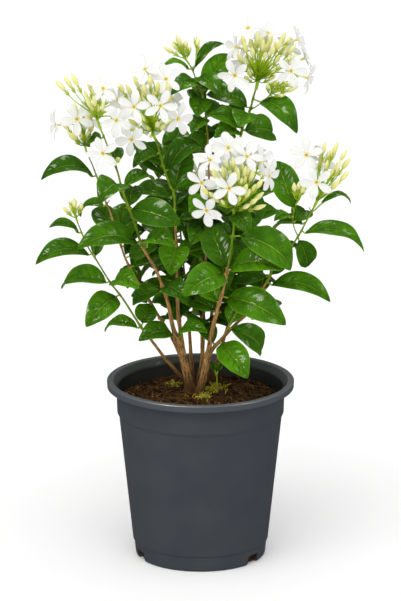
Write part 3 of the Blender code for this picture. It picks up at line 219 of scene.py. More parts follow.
# Driving dimensions of leaves, flowers and buds
PETIOLE_WIDTH = 2.0 * MM
PETIOLE_LENGTH = 5.0 * MM
BLADE_FOLD = math.radians(16)
BLADE_OUTLINE = (0.86, 0.78)
BLADE_BEND = ((0.30, 1.25), (0.72, 1.35))
TEST_STATIONS = (0.06, 0.3, 0.55, 0.8, 1.0)
TEST_MARGIN = 1.05
FLOWER_RADIUS = 18.5 * MM
FLOWER_THICKNESS = 0.8 * MM
LOBES = 5
LOBE_SHAPE = ((-36, 0.22), (-18, 0.95), (18, 0.95))
LOBE_RISE = 2.6 * MM
TUBE_LENGTH = 14 * MM
TUBE_RADIUS = 1.4 * MM
PEDICEL_RADIUS = 0.55 * MM
BUD_LENGTH = 15 * MM
BUD_RADIUS = 2.8 * MM
BUD_SHARE = 0.6
BUD_SWELL = 0.42
HUB_RADIUS = 2.6 * MM
HUB_SINK = 0.6
STALK_SEAT = 2.5 * MM
SIDE_STALK_RADIUS = 1.1 * MM

# Spacings that keep one piece clear of another
ROUTE_STEP = 48 * MM
SEARCH_STEPS = 8
CLEARANCE = 2.2 * MM
OWN_CLEARANCE = 0.3 * MM
LEAF_END_GAP = 6 * MM
HEAD_END_GAP = 8 * MM
RIM_INSET = 6 * MM
RIM_GAP = 3 * MM
PRISM_MARGIN = 1.25
PEDICEL_CLEAR = 0.4

# The viewpoint of the reference picture, which turns pixels into places
VIEW_BACK = 4.77
VIEW_HEIGHT = 1.614
VIEW_TILT = math.radians(15.77)
VIEW_FOCUS = 4910.0
VIEW_CENTRE = (200.5, 300.5)

# Leafy stems. Each branch is its first and last radius in millimetres, then its route from
# the soil upwards as (u, v, depth). The first branch of a stem is the one in the soil.
STEMS = {
    "stem_left": {
        "trunk": (5.2, 4.7, [(190, 391, 0), (187, 374, -5), (182, 354, -9), (179, 341, -12)]),
        "front": (3.4, 1.3, [
            (183, 356, -10), (174, 331, -16), (167, 300, -22), (157, 272, -28), (149, 258, -31),
            (141, 243, -36), (134, 221, -40), (128, 206, -42), (122, 189, -42), (117, 170, -40),
            (111, 156, -38), (106, 142, -36), (101, 130, -35)]),
        "middle": (3.2, 1.4, [
            (184, 358, -8), (181, 335, -5), (178, 310, -2), (177, 280, 0), (176, 240, 0),
            (174, 196, -4), (170, 186, -6), (164, 169, -10), (159, 150, -16), (155, 139, -20)]),
        "rear": (2.5, 1.1, [
            (182, 358, -9), (171, 336, -4), (158, 315, 2), (142, 288, 8), (127, 262, 9),
            (120, 243, 8), (112, 217, 6), (105, 200, 2), (98, 180, -5), (92, 164, -10),
            (87, 153, -13)]),
    },
    "stem_far_left": {
        "main": (2.3, 1.1, [
            (186, 385, 15), (176, 371, 8), (164, 357, 1), (152, 341, -6), (141, 327, -12),
            (123, 299, -18), (110, 282, -22), (97, 261, -26), (88, 247, -28), (81, 231, -30),
            (77.5, 222, -30)]),
    },
    "stem_centre": {
        "main": (2.8, 1.1, [
            (198, 385, 16), (201.5, 365, 17), (203, 340, 19), (204, 300, 21), (206, 250, 24),
            (209, 200, 28), (208, 145, 30), (206, 118, 30), (203, 96, 30), (197, 83, 30),
            (193, 71, 30), (189, 64, 30)]),
        "twig": (0.9, 0.8, [(193, 72, 30), (195, 65, 27), (196, 59, 26)]),
    },
    "stem_right_rear": {
        "main": (2.7, 1.7, [
            (206, 383, 26), (208, 362, 29), (210, 335, 32), (213, 305, 35), (219, 280, 36),
            (224, 240, 36), (229, 200, 36), (236, 160, 34), (242, 130, 32), (246, 119, 32),
            (250, 110, 31), (254, 95, 29), (256, 89, 28)]),
        "twig": (1.1, 0.9, [(250, 110, 31), (257, 106, 26), (264, 100, 22), (268, 97, 20)]),
    },
    "stem_right": {
        "trunk": (4.2, 4.0, [(199.5, 394, -11), (203, 378, -12), (206, 362, -13), (208, 353, -14)]),
        "front": (3.4, 1.7, [
            (207, 360, -12), (211, 336, -20), (215, 319, -26), (219, 304, -32), (222, 295, -35),
            (225, 282, -40), (227, 272, -44), (229, 262, -47), (231.5, 245, -52),
            (233.5, 230, -56), (234, 216, -60)]),
        "side": (2.6, 1.4, [
            (206, 362, -11), (212, 350, -8), (220, 341, -4), (229, 331, 0), (238, 322, 4),
            (247, 314, 6), (256, 302, 6), (263, 288, 2), (269, 278, 0), (274, 267, -2),
            (281, 259, -4), (290, 248, -6), (299, 235, -8), (308, 218, -10), (314, 207, -11)]),
        "low_twig": (1.7, 1.0, [
            (208, 354, -13), (215, 345, -20), (222, 338, -24), (228, 328, -28),
            (233, 318, -31), (239, 309, -33)]),
        "bud_twig": (1.0, 0.8, [(298, 236, -8), (294, 227, -12), (293, 215, -16), (296, 205, -18)]),
    },
    "stem_back_left": {
        "main": (2.4, 1.2, [
            (193, 382, 30), (191, 355, 42), (189, 325, 54), (186, 290, 66), (182, 250, 78),
            (179, 215, 86), (175, 188, 90), (168, 163, 92), (158, 142, 92), (154, 136, 92)]),
    },
    "stem_back_right": {
        "main": (2.4, 1.2, [
            (212, 379, 40), (220, 352, 48), (229, 322, 58), (237, 292, 68), (243, 262, 78),
            (247, 232, 84), (249, 207, 88), (250, 194, 90)]),
    },
    "stem_back": {
        "main": (2.3, 1.1, [
            (201, 378, 46), (202, 350, 60), (201, 310, 76), (199, 270, 90), (197, 235, 100),
            (195, 208, 106), (194, 196, 108)]),
    },
}

# Leaves. A row is the blade's base and tip in the picture, its length and width in
# millimetres, which way the tip leans (-1 nearer, 1 further), how far the upper face turns
# from the sky to the viewer in degrees, and how high the blade arches for its length.
LEAVES = {
    ("stem_left", "front"): [
        (172, 334, 138.5, 341, 42, 26, -1, 45, 0.24),
        (179, 335, 208, 333, 38, 22, -1, 35, 0.28),
        (138, 244, 77, 249, 66, 34, -1, 40, 0.24),
        (144, 247, 175, 247, 44, 30, -1, 40, 0.34),
        (121, 190, 99, 204, 46, 32, -1, 40, 0.34),
        (125, 186, 154, 183, 42, 22, 1, 20, 0.26),
        (131, 206, 181, 224.5, 57, 32, -1, 70, 0.14),
        (164, 287, 188, 302, 40, 26, -1, 50, 0.24),
        (161, 290, 133, 305, 38, 24, 1, 45, 0.2),
        (117, 166, 114, 148, 30, 20, 1, 80, 0.12),
        (104, 136, 90, 147, 34, 18, 1, 40, 0.2),
        (128, 208, 133, 187, 44, 26, 1, 60, 0.14),
    ],
    ("stem_left", "middle"): [
        (175, 243, 171, 276, 46, 32, -1, 50, 0.26),
        (173, 196, 130, 207, 50, 30, 1, 20, 0.3),
        (165, 170, 201, 149, 50, 26, 1, 35, 0.36),
        (162, 168, 146, 149, 38, 22, 1, 50, 0.14),
        (175, 193, 185, 145, 54, 30, 1, 80, 0.1),
        (177, 300, 192, 314, 40, 28, 1, 50, 0.18),
        (159, 152, 133, 168, 36, 18, -1, 30, 0.24),
        (177, 244, 200, 262, 46, 28, 1, 40, 0.2),
        (176, 262, 158, 270, 40, 26, 1, 45, 0.2),
        (178, 318, 164, 322, 36, 22, 1, 40, 0.2),
    ],
    ("stem_left", "rear"): [
        (92, 178, 41, 180, 54, 28, -1, 28, 0.3),
        (106, 205, 81, 217, 38, 20, 1, 25, 0.26),
        (119, 245, 124, 203, 50, 32, 1, 80, 0.1),
        (117, 238, 95, 208, 44, 26, 1, 60, 0.16),
        (128, 264, 148, 262, 40, 24, 1, 50, 0.22),
        (141, 287, 122, 268, 34, 22, 1, 60, 0.2),
        (150, 303, 131, 296, 34, 20, -1, 45, 0.24),
    ],
    ("stem_far_left", "main"): [
        (81, 233, 49, 227.5, 36, 16, -1, 30, 0.26),
        (91, 256, 35.5, 264.5, 58, 28, -1, 32, 0.26),
        (95, 257, 99, 243, 34, 14, 1, 60, 0.14),
        (107, 282, 62, 289, 54, 32, 1, 30, 0.24),
        (113, 284, 139.5, 289, 40, 26, -1, 52, 0.34),
        (115, 297, 86, 327, 50, 30, -1, 68, 0.2),
        (140, 327, 105, 332, 42, 20, 1, 25, 0.26),
        (143, 326, 150, 304, 34, 24, 1, 70, 0.18),
    ],
    ("stem_centre", "main"): [
        (204, 92, 228, 53.7, 48, 26, 1, 75, 0.14),
        (195, 66, 224.6, 44.5, 42, 13, 1, 30, 0.26),
        (199, 88, 171, 95, 40, 24, -1, 45, 0.3),
        (202, 96, 197, 117, 34, 24, -1, 60, 0.16),
        (191, 69, 163, 66, 34, 13, -1, 20, 0.2),
        (205, 119, 191, 133, 34, 20, -1, 50, 0.22),
        (208, 117, 221, 106, 40, 24, 1, 60, 0.14),
        (207, 151, 187, 138, 46, 26, 1, 60, 0.14),
        (208, 200, 190, 214, 42, 26, -1, 50, 0.2),
        (207, 230, 191, 245, 44, 28, -1, 45, 0.2),
        (206, 262, 191, 280, 44, 28, 1, 50, 0.16),
        (204, 296, 218, 284, 40, 26, 1, 50, 0.16),
        (203, 320, 190, 331, 36, 22, -1, 45, 0.2),
    ],
    ("stem_right_rear", "main"): [
        (262, 102, 297, 133.7, 58, 28, -1, 40, 0.28),
        (243, 131, 272, 136, 46, 32, 1, 65, 0.22),
        (240, 132, 214, 138, 36, 24, -1, 45, 0.3),
        (246, 107, 206, 95, 52, 26, 1, 40, 0.16),
        (244, 124, 224, 106, 44, 30, 1, 70, 0.14),
        (247, 112, 239, 127, 34, 28, -1, 55, 0.16),
        (232, 186, 256, 215, 50, 30, 1, 50, 0.2),
        (226, 228, 262, 196, 58, 32, 1, 70, 0.12),
        (222, 252, 249, 240, 44, 28, 1, 50, 0.2),
    ],
    ("stem_right", "front"): [
        (223, 272, 183, 296, 54, 34, -1, 62, 0.22),
        (224, 270, 209, 226, 54, 32, 1, 80, 0.12),
        (232, 270, 282.6, 270.5, 56, 32, -1, 48, 0.26),
        (229, 298, 286, 325, 66, 36, -1, 62, 0.2),
        (235, 216, 250, 233.5, 30, 22, -1, 60, 0.3),
        (231, 237, 218, 225, 30, 12, 1, 60, 0.14),
        (241, 236, 291, 270, 64, 38, 1, 52, 0.26),
        (217, 312, 192, 303, 40, 26, 1, 50, 0.16),
        (218, 304, 201, 283, 38, 24, 1, 60, 0.14),
        (227, 272, 240, 250, 40, 24, 1, 70, 0.12),
    ],
    ("stem_right", "side"): [
        (273, 285, 330.5, 302, 62, 28, -1, 36, 0.24),
        (306, 233, 364.3, 252.7, 64, 28, 1, 24, 0.24),
        (301, 239, 307, 267, 36, 24, 1, 50, 0.14),
        (322, 203, 351, 203.6, 34, 11, 1, 20, 0.3),
        (263, 288, 246, 276, 36, 26, 1, 60, 0.18),
        (270, 276, 283, 262, 30, 20, 1, 60, 0.2),
        (249, 312, 252, 320, 30, 20, 1, 50, 0.16),
        (281, 259, 268, 250, 28, 18, 1, 50, 0.2),
    ],
    ("stem_right", "low_twig"): [
        (221, 342, 247.5, 378.5, 52, 31, -1, 62, 0.14),
        (230, 328, 258.5, 354.5, 48, 30, 1, 55, 0.26),
        (227, 326, 238, 304, 32, 20, 1, 70, 0.14),
        (214, 344, 202, 325, 34, 20, 1, 50, 0.16),
    ],
    ("stem_right", "bud_twig"): [
        (293, 211, 277, 161, 56, 30, 1, 78, 0.12),
        (294, 216, 274, 221, 30, 14, -1, 40, 0.2),
        (295, 222, 306, 211, 30, 24, 1, 60, 0.14),
    ],
    ("stem_back_left", "main"): [
        (188, 318, 166, 308, 46, 28, 1, 30, 0.2),
        (188, 318, 204, 316, 46, 28, -1, 30, 0.2),
        (183, 262, 158, 256, 52, 30, -1, 30, 0.22),
        (183, 262, 203, 270, 50, 30, 1, 30, 0.22),
        (180, 224, 152, 214, 54, 30, 1, 30, 0.2),
        (180, 224, 196, 226, 52, 30, -1, 30, 0.2),
        (175, 190, 196, 176, 52, 28, 1, 30, 0.2),
        (168, 164, 146, 172, 46, 26, 1, 30, 0.24),
        (168, 164, 182, 128, 52, 28, 1, 60, 0.14),
    ],
    ("stem_back_right", "main"): [
        (230, 318, 250, 318, 46, 28, 1, 30, 0.2),
        (239, 286, 262, 292, 50, 30, 1, 30, 0.22),
        (239, 286, 226, 284, 46, 28, -1, 30, 0.22),
        (244, 256, 272, 262, 54, 30, 1, 30, 0.22),
        (244, 256, 230, 250, 50, 30, -1, 30, 0.2),
        (248, 222, 280, 216, 56, 30, 1, 30, 0.2),
        (248, 222, 228, 216, 50, 28, -1, 30, 0.2),
        (249, 200, 274, 192, 48, 26, 1, 40, 0.2),
    ],
    ("stem_back", "main"): [
        (201, 316, 214, 306, 44, 26, -1, 20, 0.2),
        (200, 280, 212, 262, 52, 30, 1, 20, 0.22),
        (198, 250, 186, 240, 52, 30, -1, 20, 0.22),
        (196, 222, 216, 214, 52, 30, 1, 20, 0.2),
        (195, 204, 182, 190, 48, 26, 1, 20, 0.2),
        (194, 198, 206, 180, 46, 26, 1, 30, 0.2),
    ],
}

# Heads. Each grows from a branch's end. Its hub is (u, v, depth). A flower is its centre
# (u, v, depth) and where it faces: degrees to the right of the viewer, and degrees up.
# A bud is the place of its tip.
HEADS = {
    "head_top_right": {
        "stem": ("stem_right_rear", "main"),
        "hub": (257.5, 81, 26),
        "flowers": [
            (248, 28, 22, -20, 50), (268, 33, 36, 15, 60), (298, 39, 20, 80, 25),
            (305, 58, 34, 85, 10), (308, 78, 8, 75, -12), (291, 71, -14, 20, 5),
            (234.7, 75.5, -14, -15, 0), (236, 47, 24, -60, 20), (262, 47, 74, 160, 30),
            (288, 50, 66, 130, 20), (240, 60, 68, -140, 20)],
        "buds": [
            (242, 35, 6), (258, 32, 0), (244, 42, -4), (264, 40, -12), (272, 35, 8),
            (286, 32, 12), (291, 37, 24), (296, 44, 0), (238, 53, -6), (281, 40, -8),
            (296, 54, -12), (252, 47, -18), (274, 46, -16)],
    },
    "head_top": {
        "stem": ("stem_centre", "main"),
        "hub": (184.5, 58, 30),
        "flowers": [],
        "buds": [
            (163.5, 46.5, 26), (172, 42, 34), (176, 34.5, 24), (185.5, 39.5, 30),
            (190, 46, 38), (180, 44, 46)],
    },
    "bud_top": {
        "stem": ("stem_centre", "twig"),
        "hub": (196.3, 56, 26),
        "flowers": [],
        "buds": [(198, 37, 26)],
    },
    "head_upper_left": {
        "stem": ("stem_left", "front"),
        "hub": (97, 119, -34),
        "flowers": [
            (103, 88.5, -34, 10, 40), (116.5, 120.5, -58, 20, 0), (118, 100, -20, 40, 30)],
        "buds": [
            (55.5, 80, -44), (63.5, 75.5, -38), (71.5, 73.5, -46), (88, 79, -36),
            (86, 97, -54), (93, 96, -52), (104, 101, -52)],
    },
    "head_middle_left": {
        "stem": ("stem_left", "middle"),
        "hub": (153, 130, -24),
        "flowers": [
            (166, 79, -26, 10, 35), (145, 69, -24, -20, 45), (134, 107, -54, -15, 10),
            (160.5, 106, -58, 5, 12), (178, 119, -46, 35, 0), (131.5, 139.5, -46, -20, -8),
            (140, 92, 10, -120, 40), (172, 98, 14, 130, 25)],
        "buds": [
            (134, 75, -30), (116.5, 81.5, -20), (149.5, 74, -40), (143, 83, -44),
            (158, 81, -44), (169, 82, -40), (165, 125, -52), (128, 119, -44),
            (149, 104, -62), (124, 127, -30)],
    },
    "head_left": {
        "stem": ("stem_left", "rear"),
        "hub": (85, 145, -14),
        "flowers": [(55.5, 125, -16, -75, 0), (77, 119, -28, 5, 20), (88, 118, 16, 150, 20)],
        "buds": [
            (62, 121, -30), (74, 102, -20), (82, 104, -22), (93, 121, -26), (68, 132, -34)],
    },
    "flower_left": {
        "stem": None,
        "hub": (115, 165, -45),
        "flowers": [(103, 153.5, -62, -12, 5)],
        "buds": [(119, 158, -56)],
    },
    "head_front": {
        "stem": ("stem_right", "front"),
        "hub": (234, 208, -62),
        "flowers": [
            (229, 188.5, -94, -2, 6), (206.5, 210.5, -84, -25, -14), (201.5, 183, -74, -30, 5),
            (210, 160, -62, -25, 35), (228.5, 148, -56, 0, 50), (247, 156.5, -62, 20, 40),
            (262, 161, -46, 45, 30), (269, 176, -62, 60, -5), (236, 166, -14, 170, 35),
            (222, 184, -18, -150, 5)],
        "buds": [
            (263, 179, -84), (264, 192, -80), (250, 189, -90), (266, 205, -70),
            (246, 166, -86), (233, 157, -80), (212, 168, -84), (201, 187, -92),
            (222, 166, -86), (238, 168, -92), (254, 170, -76), (213, 196, -92)],
    },
    "head_right": {
        "stem": ("stem_right", "side"),
        "hub": (316.5, 202, -12),
        "flowers": [(316.6, 182.5, -34, 0, 8), (306.5, 155, -14, -12, 25), (322, 160, 18, 165, 20)],
        "buds": [
            (325.5, 141.5, -12), (338, 141.5, -8), (347, 149, -14), (350, 158, -6),
            (349, 171, -22), (339.5, 180, -26), (334, 147, 6), (341, 160, -30)],
    },
    "buds_right": {
        "stem": ("stem_right", "bud_twig"),
        "hub": (298, 201, -19),
        "flowers": [],
        "buds": [(294, 182.5, -24), (299.5, 181, -16), (305, 185.5, -22)],
    },
    "buds_far_left": {
        "stem": ("stem_far_left", "main"),
        "hub": (76, 217, -30),
        "flowers": [],
        "buds": [(62.5, 207, -32), (69.5, 202, -24), (74, 198, -36), (82, 202.5, -30)],
    },
    "buds_side": {
        "stem": ("stem_right_rear", "twig"),
        "hub": (271, 94, 19),
        "flowers": [],
        "buds": [(267.5, 83.5, 14), (276.5, 80, 22), (288.5, 81, 20), (299, 86, 16), (285, 95, 10)],
    },
    "head_back_left": {
        "stem": ("stem_back_left", "main"),
        "hub": (151, 128, 92),
        "flowers": [
            (132, 106, 104, 200, 20), (150, 94, 106, 180, 50), (168, 103, 106, 150, 25),
            (143, 120, 124, 185, 0), (163, 122, 122, 165, -4)],
        "buds": [(138, 90, 96), (158, 84, 94), (174, 118, 108)],
    },
    "head_back_right": {
        "stem": ("stem_back_right", "main"),
        "hub": (250, 186, 92),
        "flowers": [
            (234, 164, 100, 200, 25), (252, 156, 104, 180, 50), (266, 168, 104, 150, 20),
            (243, 180, 122, 185, 0)],
        "buds": [(243, 150, 92), (262, 150, 94), (228, 178, 108)],
    },
    "head_back": {
        "stem": ("stem_back", "main"),
        "hub": (194, 188, 110),
        "flowers": [(198, 172, 132, 178, 20)],
        "buds": [(190, 168, 112), (201, 163, 110)],
    },
}

# Turned parts, as a radius and a height for each ring
TUBE_PROFILE = [
    (0.8 * MM, -2.4 * MM), (1.1 * MM, -1.0 * MM), (THROAT_RADIUS, 0.1 * MM),
    (THROAT_RADIUS + 0.3 * MM, -0.3 * MM), (1.3 * MM, -2.2 * MM), (NECK_RADIUS, -6 * MM),
    (NECK_RADIUS, -TUBE_LENGTH)]
NECK_PROFILE = [(NECK_RADIUS * 0.8, 0), (NECK_RADIUS * 0.9, 0.5), (NECK_RADIUS, 1.04)]
CALYX_PROFILE = [
    (0.5 * MM, 0), (1.0 * MM, 0.5 * MM), (1.35 * MM, CALYX_LENGTH), (1.1 * MM, CALYX_LENGTH)]

SEEDLING_STEM = [(217, 383, 14), (216.5, 376, 12), (215, 370, 11)]
SEEDLING_LEAVES = [
    (215, 371, 212, 362, 12, 7, 1, 70, 0.1),
    (215, 371, 221, 363, 12, 7, 1, 60, 0.1),
]


def polar(radius, turn, height=0):
    """A place given by its distance from the z axis, its turn about it and its height."""
    return Vector((radius * math.cos(turn), radius * math.sin(turn), height))


def clamped(value, high=1.0):
    return min(max(value, 0.0), high)


def run_at(line, i):
    """The direction of a line at one of its points."""
    return (line[min(i + 1, len(line) - 1)] - line[max(i - 1, 0)]).normalized()


def end_run(line):
    return (line[-1] - line[-2]).normalized()


def all_but(groups, left_out=None):
    """The members of all groups but one, in one list."""
    return [member for key, group in groups.items() if key != left_out for member in group]


def spot(u, v, depth):
    """The place in metres seen at a pixel, at a depth in millimetres from the pot's axis."""
    sideways = (u - VIEW_CENTRE[0]) / VIEW_FOCUS
    upwards = (VIEW_CENTRE[1] - v) / VIEW_FOCUS
    along = math.cos(VIEW_TILT) + upwards * math.sin(VIEW_TILT)
    rise = -math.sin(VIEW_TILT) + upwards * math.cos(VIEW_TILT)
    reach = (depth * MM + VIEW_BACK) / along
    return Vector((sideways * reach, depth * MM, VIEW_HEIGHT + rise * reach))


def spot_at_length(u, v, start, length, lean):
    """The place seen at a pixel that lies a given length from start, nearer or further."""
    near, far = spot(u, v, -400), spot(u, v, 400)
    ray = (far - near).normalized()
    middle = near + ray * (start - near).dot(ray)
    off = (middle - start).length
    return middle + ray * (lean * math.sqrt(max(length * length - off * off, 0.0)))


def smooth_route(points, step):
    """Points along a smooth curve through the given points, about a step apart."""
    route = []
    last = len(points) - 1
    for i in range(last):
        before = points[max(i - 1, 0)]
        start = points[i]
        end = points[i + 1]
        after = points[min(i + 2, last)]
        count = max(1, round((end - start).length / step))
        for k in range(count):
            t = k / count
            route.append(0.5 * ((2 * start) + (end - before) * t
                         + (2 * before - 5 * start + 4 * end - after) * t ** 2
                         + (3 * start - before - 3 * end + after) * t ** 3))
    route.append(points[last])
    return route


def pot_outer_radius(height):
    """The outer radius of the pot's tapered wall between its foot and its collar."""
    share = (height - POT_FOOT_HEIGHT) / (POT_COLLAR_HEIGHT - POT_FOOT_HEIGHT)
    top = POT_COLLAR_RADIUS - POT_STEP
    return POT_FOOT_TOP_RADIUS + (top - POT_FOOT_TOP_RADIUS) * share


def pot_inner_radius(height):
    """The inner radius of the pot at a height above its floor."""
    if height > POT_COLLAR_HEIGHT:
        share = (height - POT_COLLAR_HEIGHT) / (POT_HEIGHT - POT_SKIRT_HEIGHT - POT_COLLAR_HEIGHT)
        low, high = pot_outer_radius(POT_COLLAR_HEIGHT), POT_COLLAR_TOP_RADIUS
        return low + (high - low) * share - POT_WALL
    if height < POT_FOOT_HEIGHT:
        share = max(height, 0) / POT_FOOT_HEIGHT
        low, high = POT_BASE_RADIUS - POT_WALL, POT_FOOT_TOP_RADIUS - POT_FOOT_STEP - POT_WALL
        return low + (high - low) * share
    return pot_outer_radius(height) - POT_WALL


def soil_height(radius, angle):
    """The top of the soil: a gentle mound with low lumps on it."""
    share = min(radius / (pot_inner_radius(SOIL_LEVEL) - SEAT), 1.0)
    crumb = noise.noise(polar(radius, angle) / SOIL_CRUMB_SIZE) * SOIL_CRUMB * (1 - share)
    return SOIL_LEVEL + SOIL_MOUND * (1 - share * share) + crumb


def branch_route(row, in_soil):
    """The route of a branch in metres and its radius at each point, roots straight down."""
    first, last, pixels = row
    points = [spot(*pixel) for pixel in pixels]
    route = smooth_route(points, ROUTE_STEP)
    if in_soil:
        route.insert(0, points[0] - Vector((0, 0, ROOT_DEPTH)))
    total = len(route) - 1
    radii = [(first + (last - first) * i / total) * MM for i in range(total + 1)]
    return route, radii


def attach_point(route, u, v):
    """The point of a route that is seen nearest to a pixel, for a leaf to grow from."""
    best, best_gap = route[0], math.inf
    for start, end in zip(route, route[1:-1] + [route[-1] - end_run(route) * LEAF_END_GAP]):
        for k in range(SEARCH_STEPS + 1):
            point = start.lerp(end, k / SEARCH_STEPS)
            gap = (spot(u, v, point.y / MM) - point).length
            if gap < best_gap:
                best, best_gap = point, gap
    return best


def lay_leaf(route, row, nudge):
    """A leaf's frame: where it roots, its base and tip, and the way its upper face points."""
    bu, bv, tu, tv, length, width, lean, face, arch = row
    d_tip, d_face, d_u, d_v = nudge
    root = attach_point(route, bu, bv)
    base = spot(bu, bv, root.y / MM)
    tip = spot_at_length(tu + d_u, tv + d_v, base, length * MM, lean)
    tip = spot(tu + d_u, tv + d_v, tip.y / MM + d_tip)
    if (base - root).length < PETIOLE_LENGTH:
        base = root + (tip - root).normalized() * PETIOLE_LENGTH
    chord = (tip - base).normalized()
    angle = math.radians(face + d_face)
    viewer = Vector((0, -math.cos(VIEW_TILT), math.sin(VIEW_TILT)))
    wish = Vector((0, 0, math.cos(angle))) + viewer * math.sin(angle)
    normal = (wish - chord * wish.dot(chord)).normalized()
    return {"root": root, "base": base, "tip": tip, "chord": chord, "normal": normal,
            "arch": arch * (tip - base).length, "width": width * MM}


def blade_half_width(leaf, t):
    """Half the width of a leaf's blade at a share of its length."""
    if t <= 0:
        return PETIOLE_WIDTH / 2
    fullest, fullness = BLADE_OUTLINE
    outline = max(math.sin(math.pi * min(t, 1.0) ** fullest), 0.0) ** fullness
    return max(leaf["width"] / 2 * outline, PETIOLE_WIDTH / 2 * (1 - t))


def blade_frame(leaf, t):
    """The midrib's point, its upward direction and its sideways direction at a share."""
    length = (leaf["tip"] - leaf["base"]).length
    lift = leaf["normal"] * leaf["arch"]
    p0, p3 = leaf["base"], leaf["tip"]
    p1, p2 = (p0 + leaf["chord"] * length * share + lift * rise for share, rise in BLADE_BEND)
    s = 1 - t
    point = p0 * s ** 3 + p1 * 3 * s * s * t + p2 * 3 * s * t * t + p3 * t ** 3
    run = ((p1 - p0) * 3 * s * s + (p2 - p1) * 6 * s * t + (p3 - p2) * 3 * t * t).normalized()
    up = (leaf["normal"] - run * leaf["normal"].dot(run)).normalized()
    return point, up, run.cross(up)


def blade_place(leaf, t, across):
    """A point of the folded blade, from its length share and its share of half the width."""
    point, up, side = blade_frame(leaf, t)
    offset = across * blade_half_width(leaf, t)
    return point + side * offset * math.cos(BLADE_FOLD) + up * abs(offset) * math.sin(BLADE_FOLD)


def facing(right, up):
    """A direction given as degrees to the right of the viewer and degrees upwards."""
    turn, rise = math.radians(right), math.radians(up)
    return Vector((math.sin(turn) * math.cos(rise), -math.cos(turn) * math.cos(rise),
                   math.sin(rise)))


def flower_matrix(flower):
    """The place and turn of a flower, from its centre, the way it faces and its spin."""
    turn = flower["face"].to_track_quat("Z", "Y").to_matrix().to_4x4()
    return Matrix.Translation(flower["centre"]) @ turn @ Matrix.Rotation(flower["spin"], 4, "Z")


def lay_flower(hub, row, nudge, spin):
    """A flower's frame: its pedicel and tube from the hub, and the way it faces."""
    u, v, depth, right, up = row
    centre = spot(u, v, depth + nudge[0])
    face = facing(right + nudge[1], up + nudge[2])
    throat = centre - face * TUBE_LENGTH
    out = (throat - hub).normalized()
    sunk = hub + out * HUB_RADIUS * HUB_SINK
    seat = centre + face * (LOBE_SHAPE[0][1] * LOBE_RISE - FLOWER_THICKNESS * 0.5)
    route = [sunk, throat, seat]
    return {"centre": centre, "face": face, "spin": spin, "route": route}


def lay_bud(hub, row, nudge):
    """A bud's frame: its pedicel from the hub, then its swollen part up to its tip."""
    tip = spot(row[0], row[1], row[2] + nudge[0])
    out = (tip - hub).normalized()
    length = min(BUD_LENGTH, (tip - hub).length * BUD_SHARE)
    return {"route": [hub + out * HUB_RADIUS * HUB_SINK, tip - out * length * BUD_SWELL, tip]}


def search_tree(points, faces):
    """A search tree over triangles, with its lowest and highest corners."""
    low = [min(point[k] for point in points) for k in range(3)]
    high = [max(point[k] for point in points) for k in range(3)]
    return BVHTree.FromPolygons(points, faces), low, high


def prism_tree(route, radii):
    """The search tree of a three-sided prism round a route, a quarter wider than it."""
    points, faces = [], []
    for i, (place, radius) in enumerate(zip(route, radii)):
        run = run_at(route, i)
        side = run.orthogonal().normalized()
        for k in range(3):
            turn = Matrix.Rotation(k * math.tau / 3, 3, run)
            points.append(place + (turn @ side) * radius * PRISM_MARGIN)
    for i in range(len(route) - 1):
        for k in range(3):
            a, b = i * 3 + k, i * 3 + (k + 1) % 3
            faces += [(a, b, b + 3), (a, b + 3, a + 3)]
    return search_tree(points, faces)


def blade_tree(leaf, gap):
    """The search tree of a leaf's blade, as two sheets a little apart round it."""
    points, faces = [], []
    for layer in (-gap, gap):
        start = len(points)
        for t in TEST_STATIONS:
            lift = blade_frame(leaf, t)[1] * layer
            points += [blade_place(leaf, t, across * TEST_MARGIN) + lift
                       for across in (-1, 0, 1)]
        for i in range(len(TEST_STATIONS) - 1):
            for k in (0, 1):
                a = start + i * 3 + k
                faces += [(a, a + 1, a + 4), (a, a + 4, a + 3)]
    return search_tree(points, faces)


def star_points():
    """The outline of a flower's five broad lobes, round its own centre."""
    outline = []
    for lobe in range(LOBES):
        for turn, reach in LOBE_SHAPE:
            angle = math.tau * lobe / LOBES + math.radians(turn)
            outline.append(polar(reach * FLOWER_RADIUS, angle, reach * LOBE_RISE))
    return outline


def star_tree(flower, gap):
    """The search tree of a flower's lobes, as two sheets a little apart."""
    matrix = flower_matrix(flower)
    outline = star_points()
    points, faces = [], []
    for layer in (-gap, gap):
        start = len(points)
        points.append(matrix @ Vector((0, 0, layer)))
        points += [matrix @ (corner * TEST_MARGIN + Vector((0, 0, layer)))
                   for corner in outline]
        for k in range(len(outline)):
            faces.append((start, start + 1 + k, start + 1 + (k + 1) % len(outline)))
    return search_tree(points, faces)


def boxes_meet(a, b):
    return all(a[1][k] < b[2][k] and b[1][k] < a[2][k] for k in range(3))


def crossings(tree, obstacles):
    """How many pairs of triangles a tree has in common with the obstacles."""
    return sum(len(tree[0].overlap(other[0])) for other in obstacles if boxes_meet(tree, other))


def above_pot(leaf):
    """Whether a leaf stays over the pot's rim, or inside it and over the soil."""
    for t in TEST_STATIONS:
        for across in (-1, 0, 1):
            place = blade_place(leaf, t, across)
            inside = math.hypot(place.x, place.y) < POT_LIP_RADIUS - RIM_INSET
            floor = SOIL_LEVEL + SOIL_MOUND if inside else POT_HEIGHT
            if place.z < floor + RIM_GAP:
                return False
    return True


def ordered_nudges(choices, weights):
    """Every mix of small changes, from none to large."""
    mixes = [()]
    for options in choices:
        mixes = [mix + (option,) for mix in mixes for option in options]
    return sorted(mixes, key=lambda mix: sum(abs(x) * w for x, w in zip(mix, weights)))


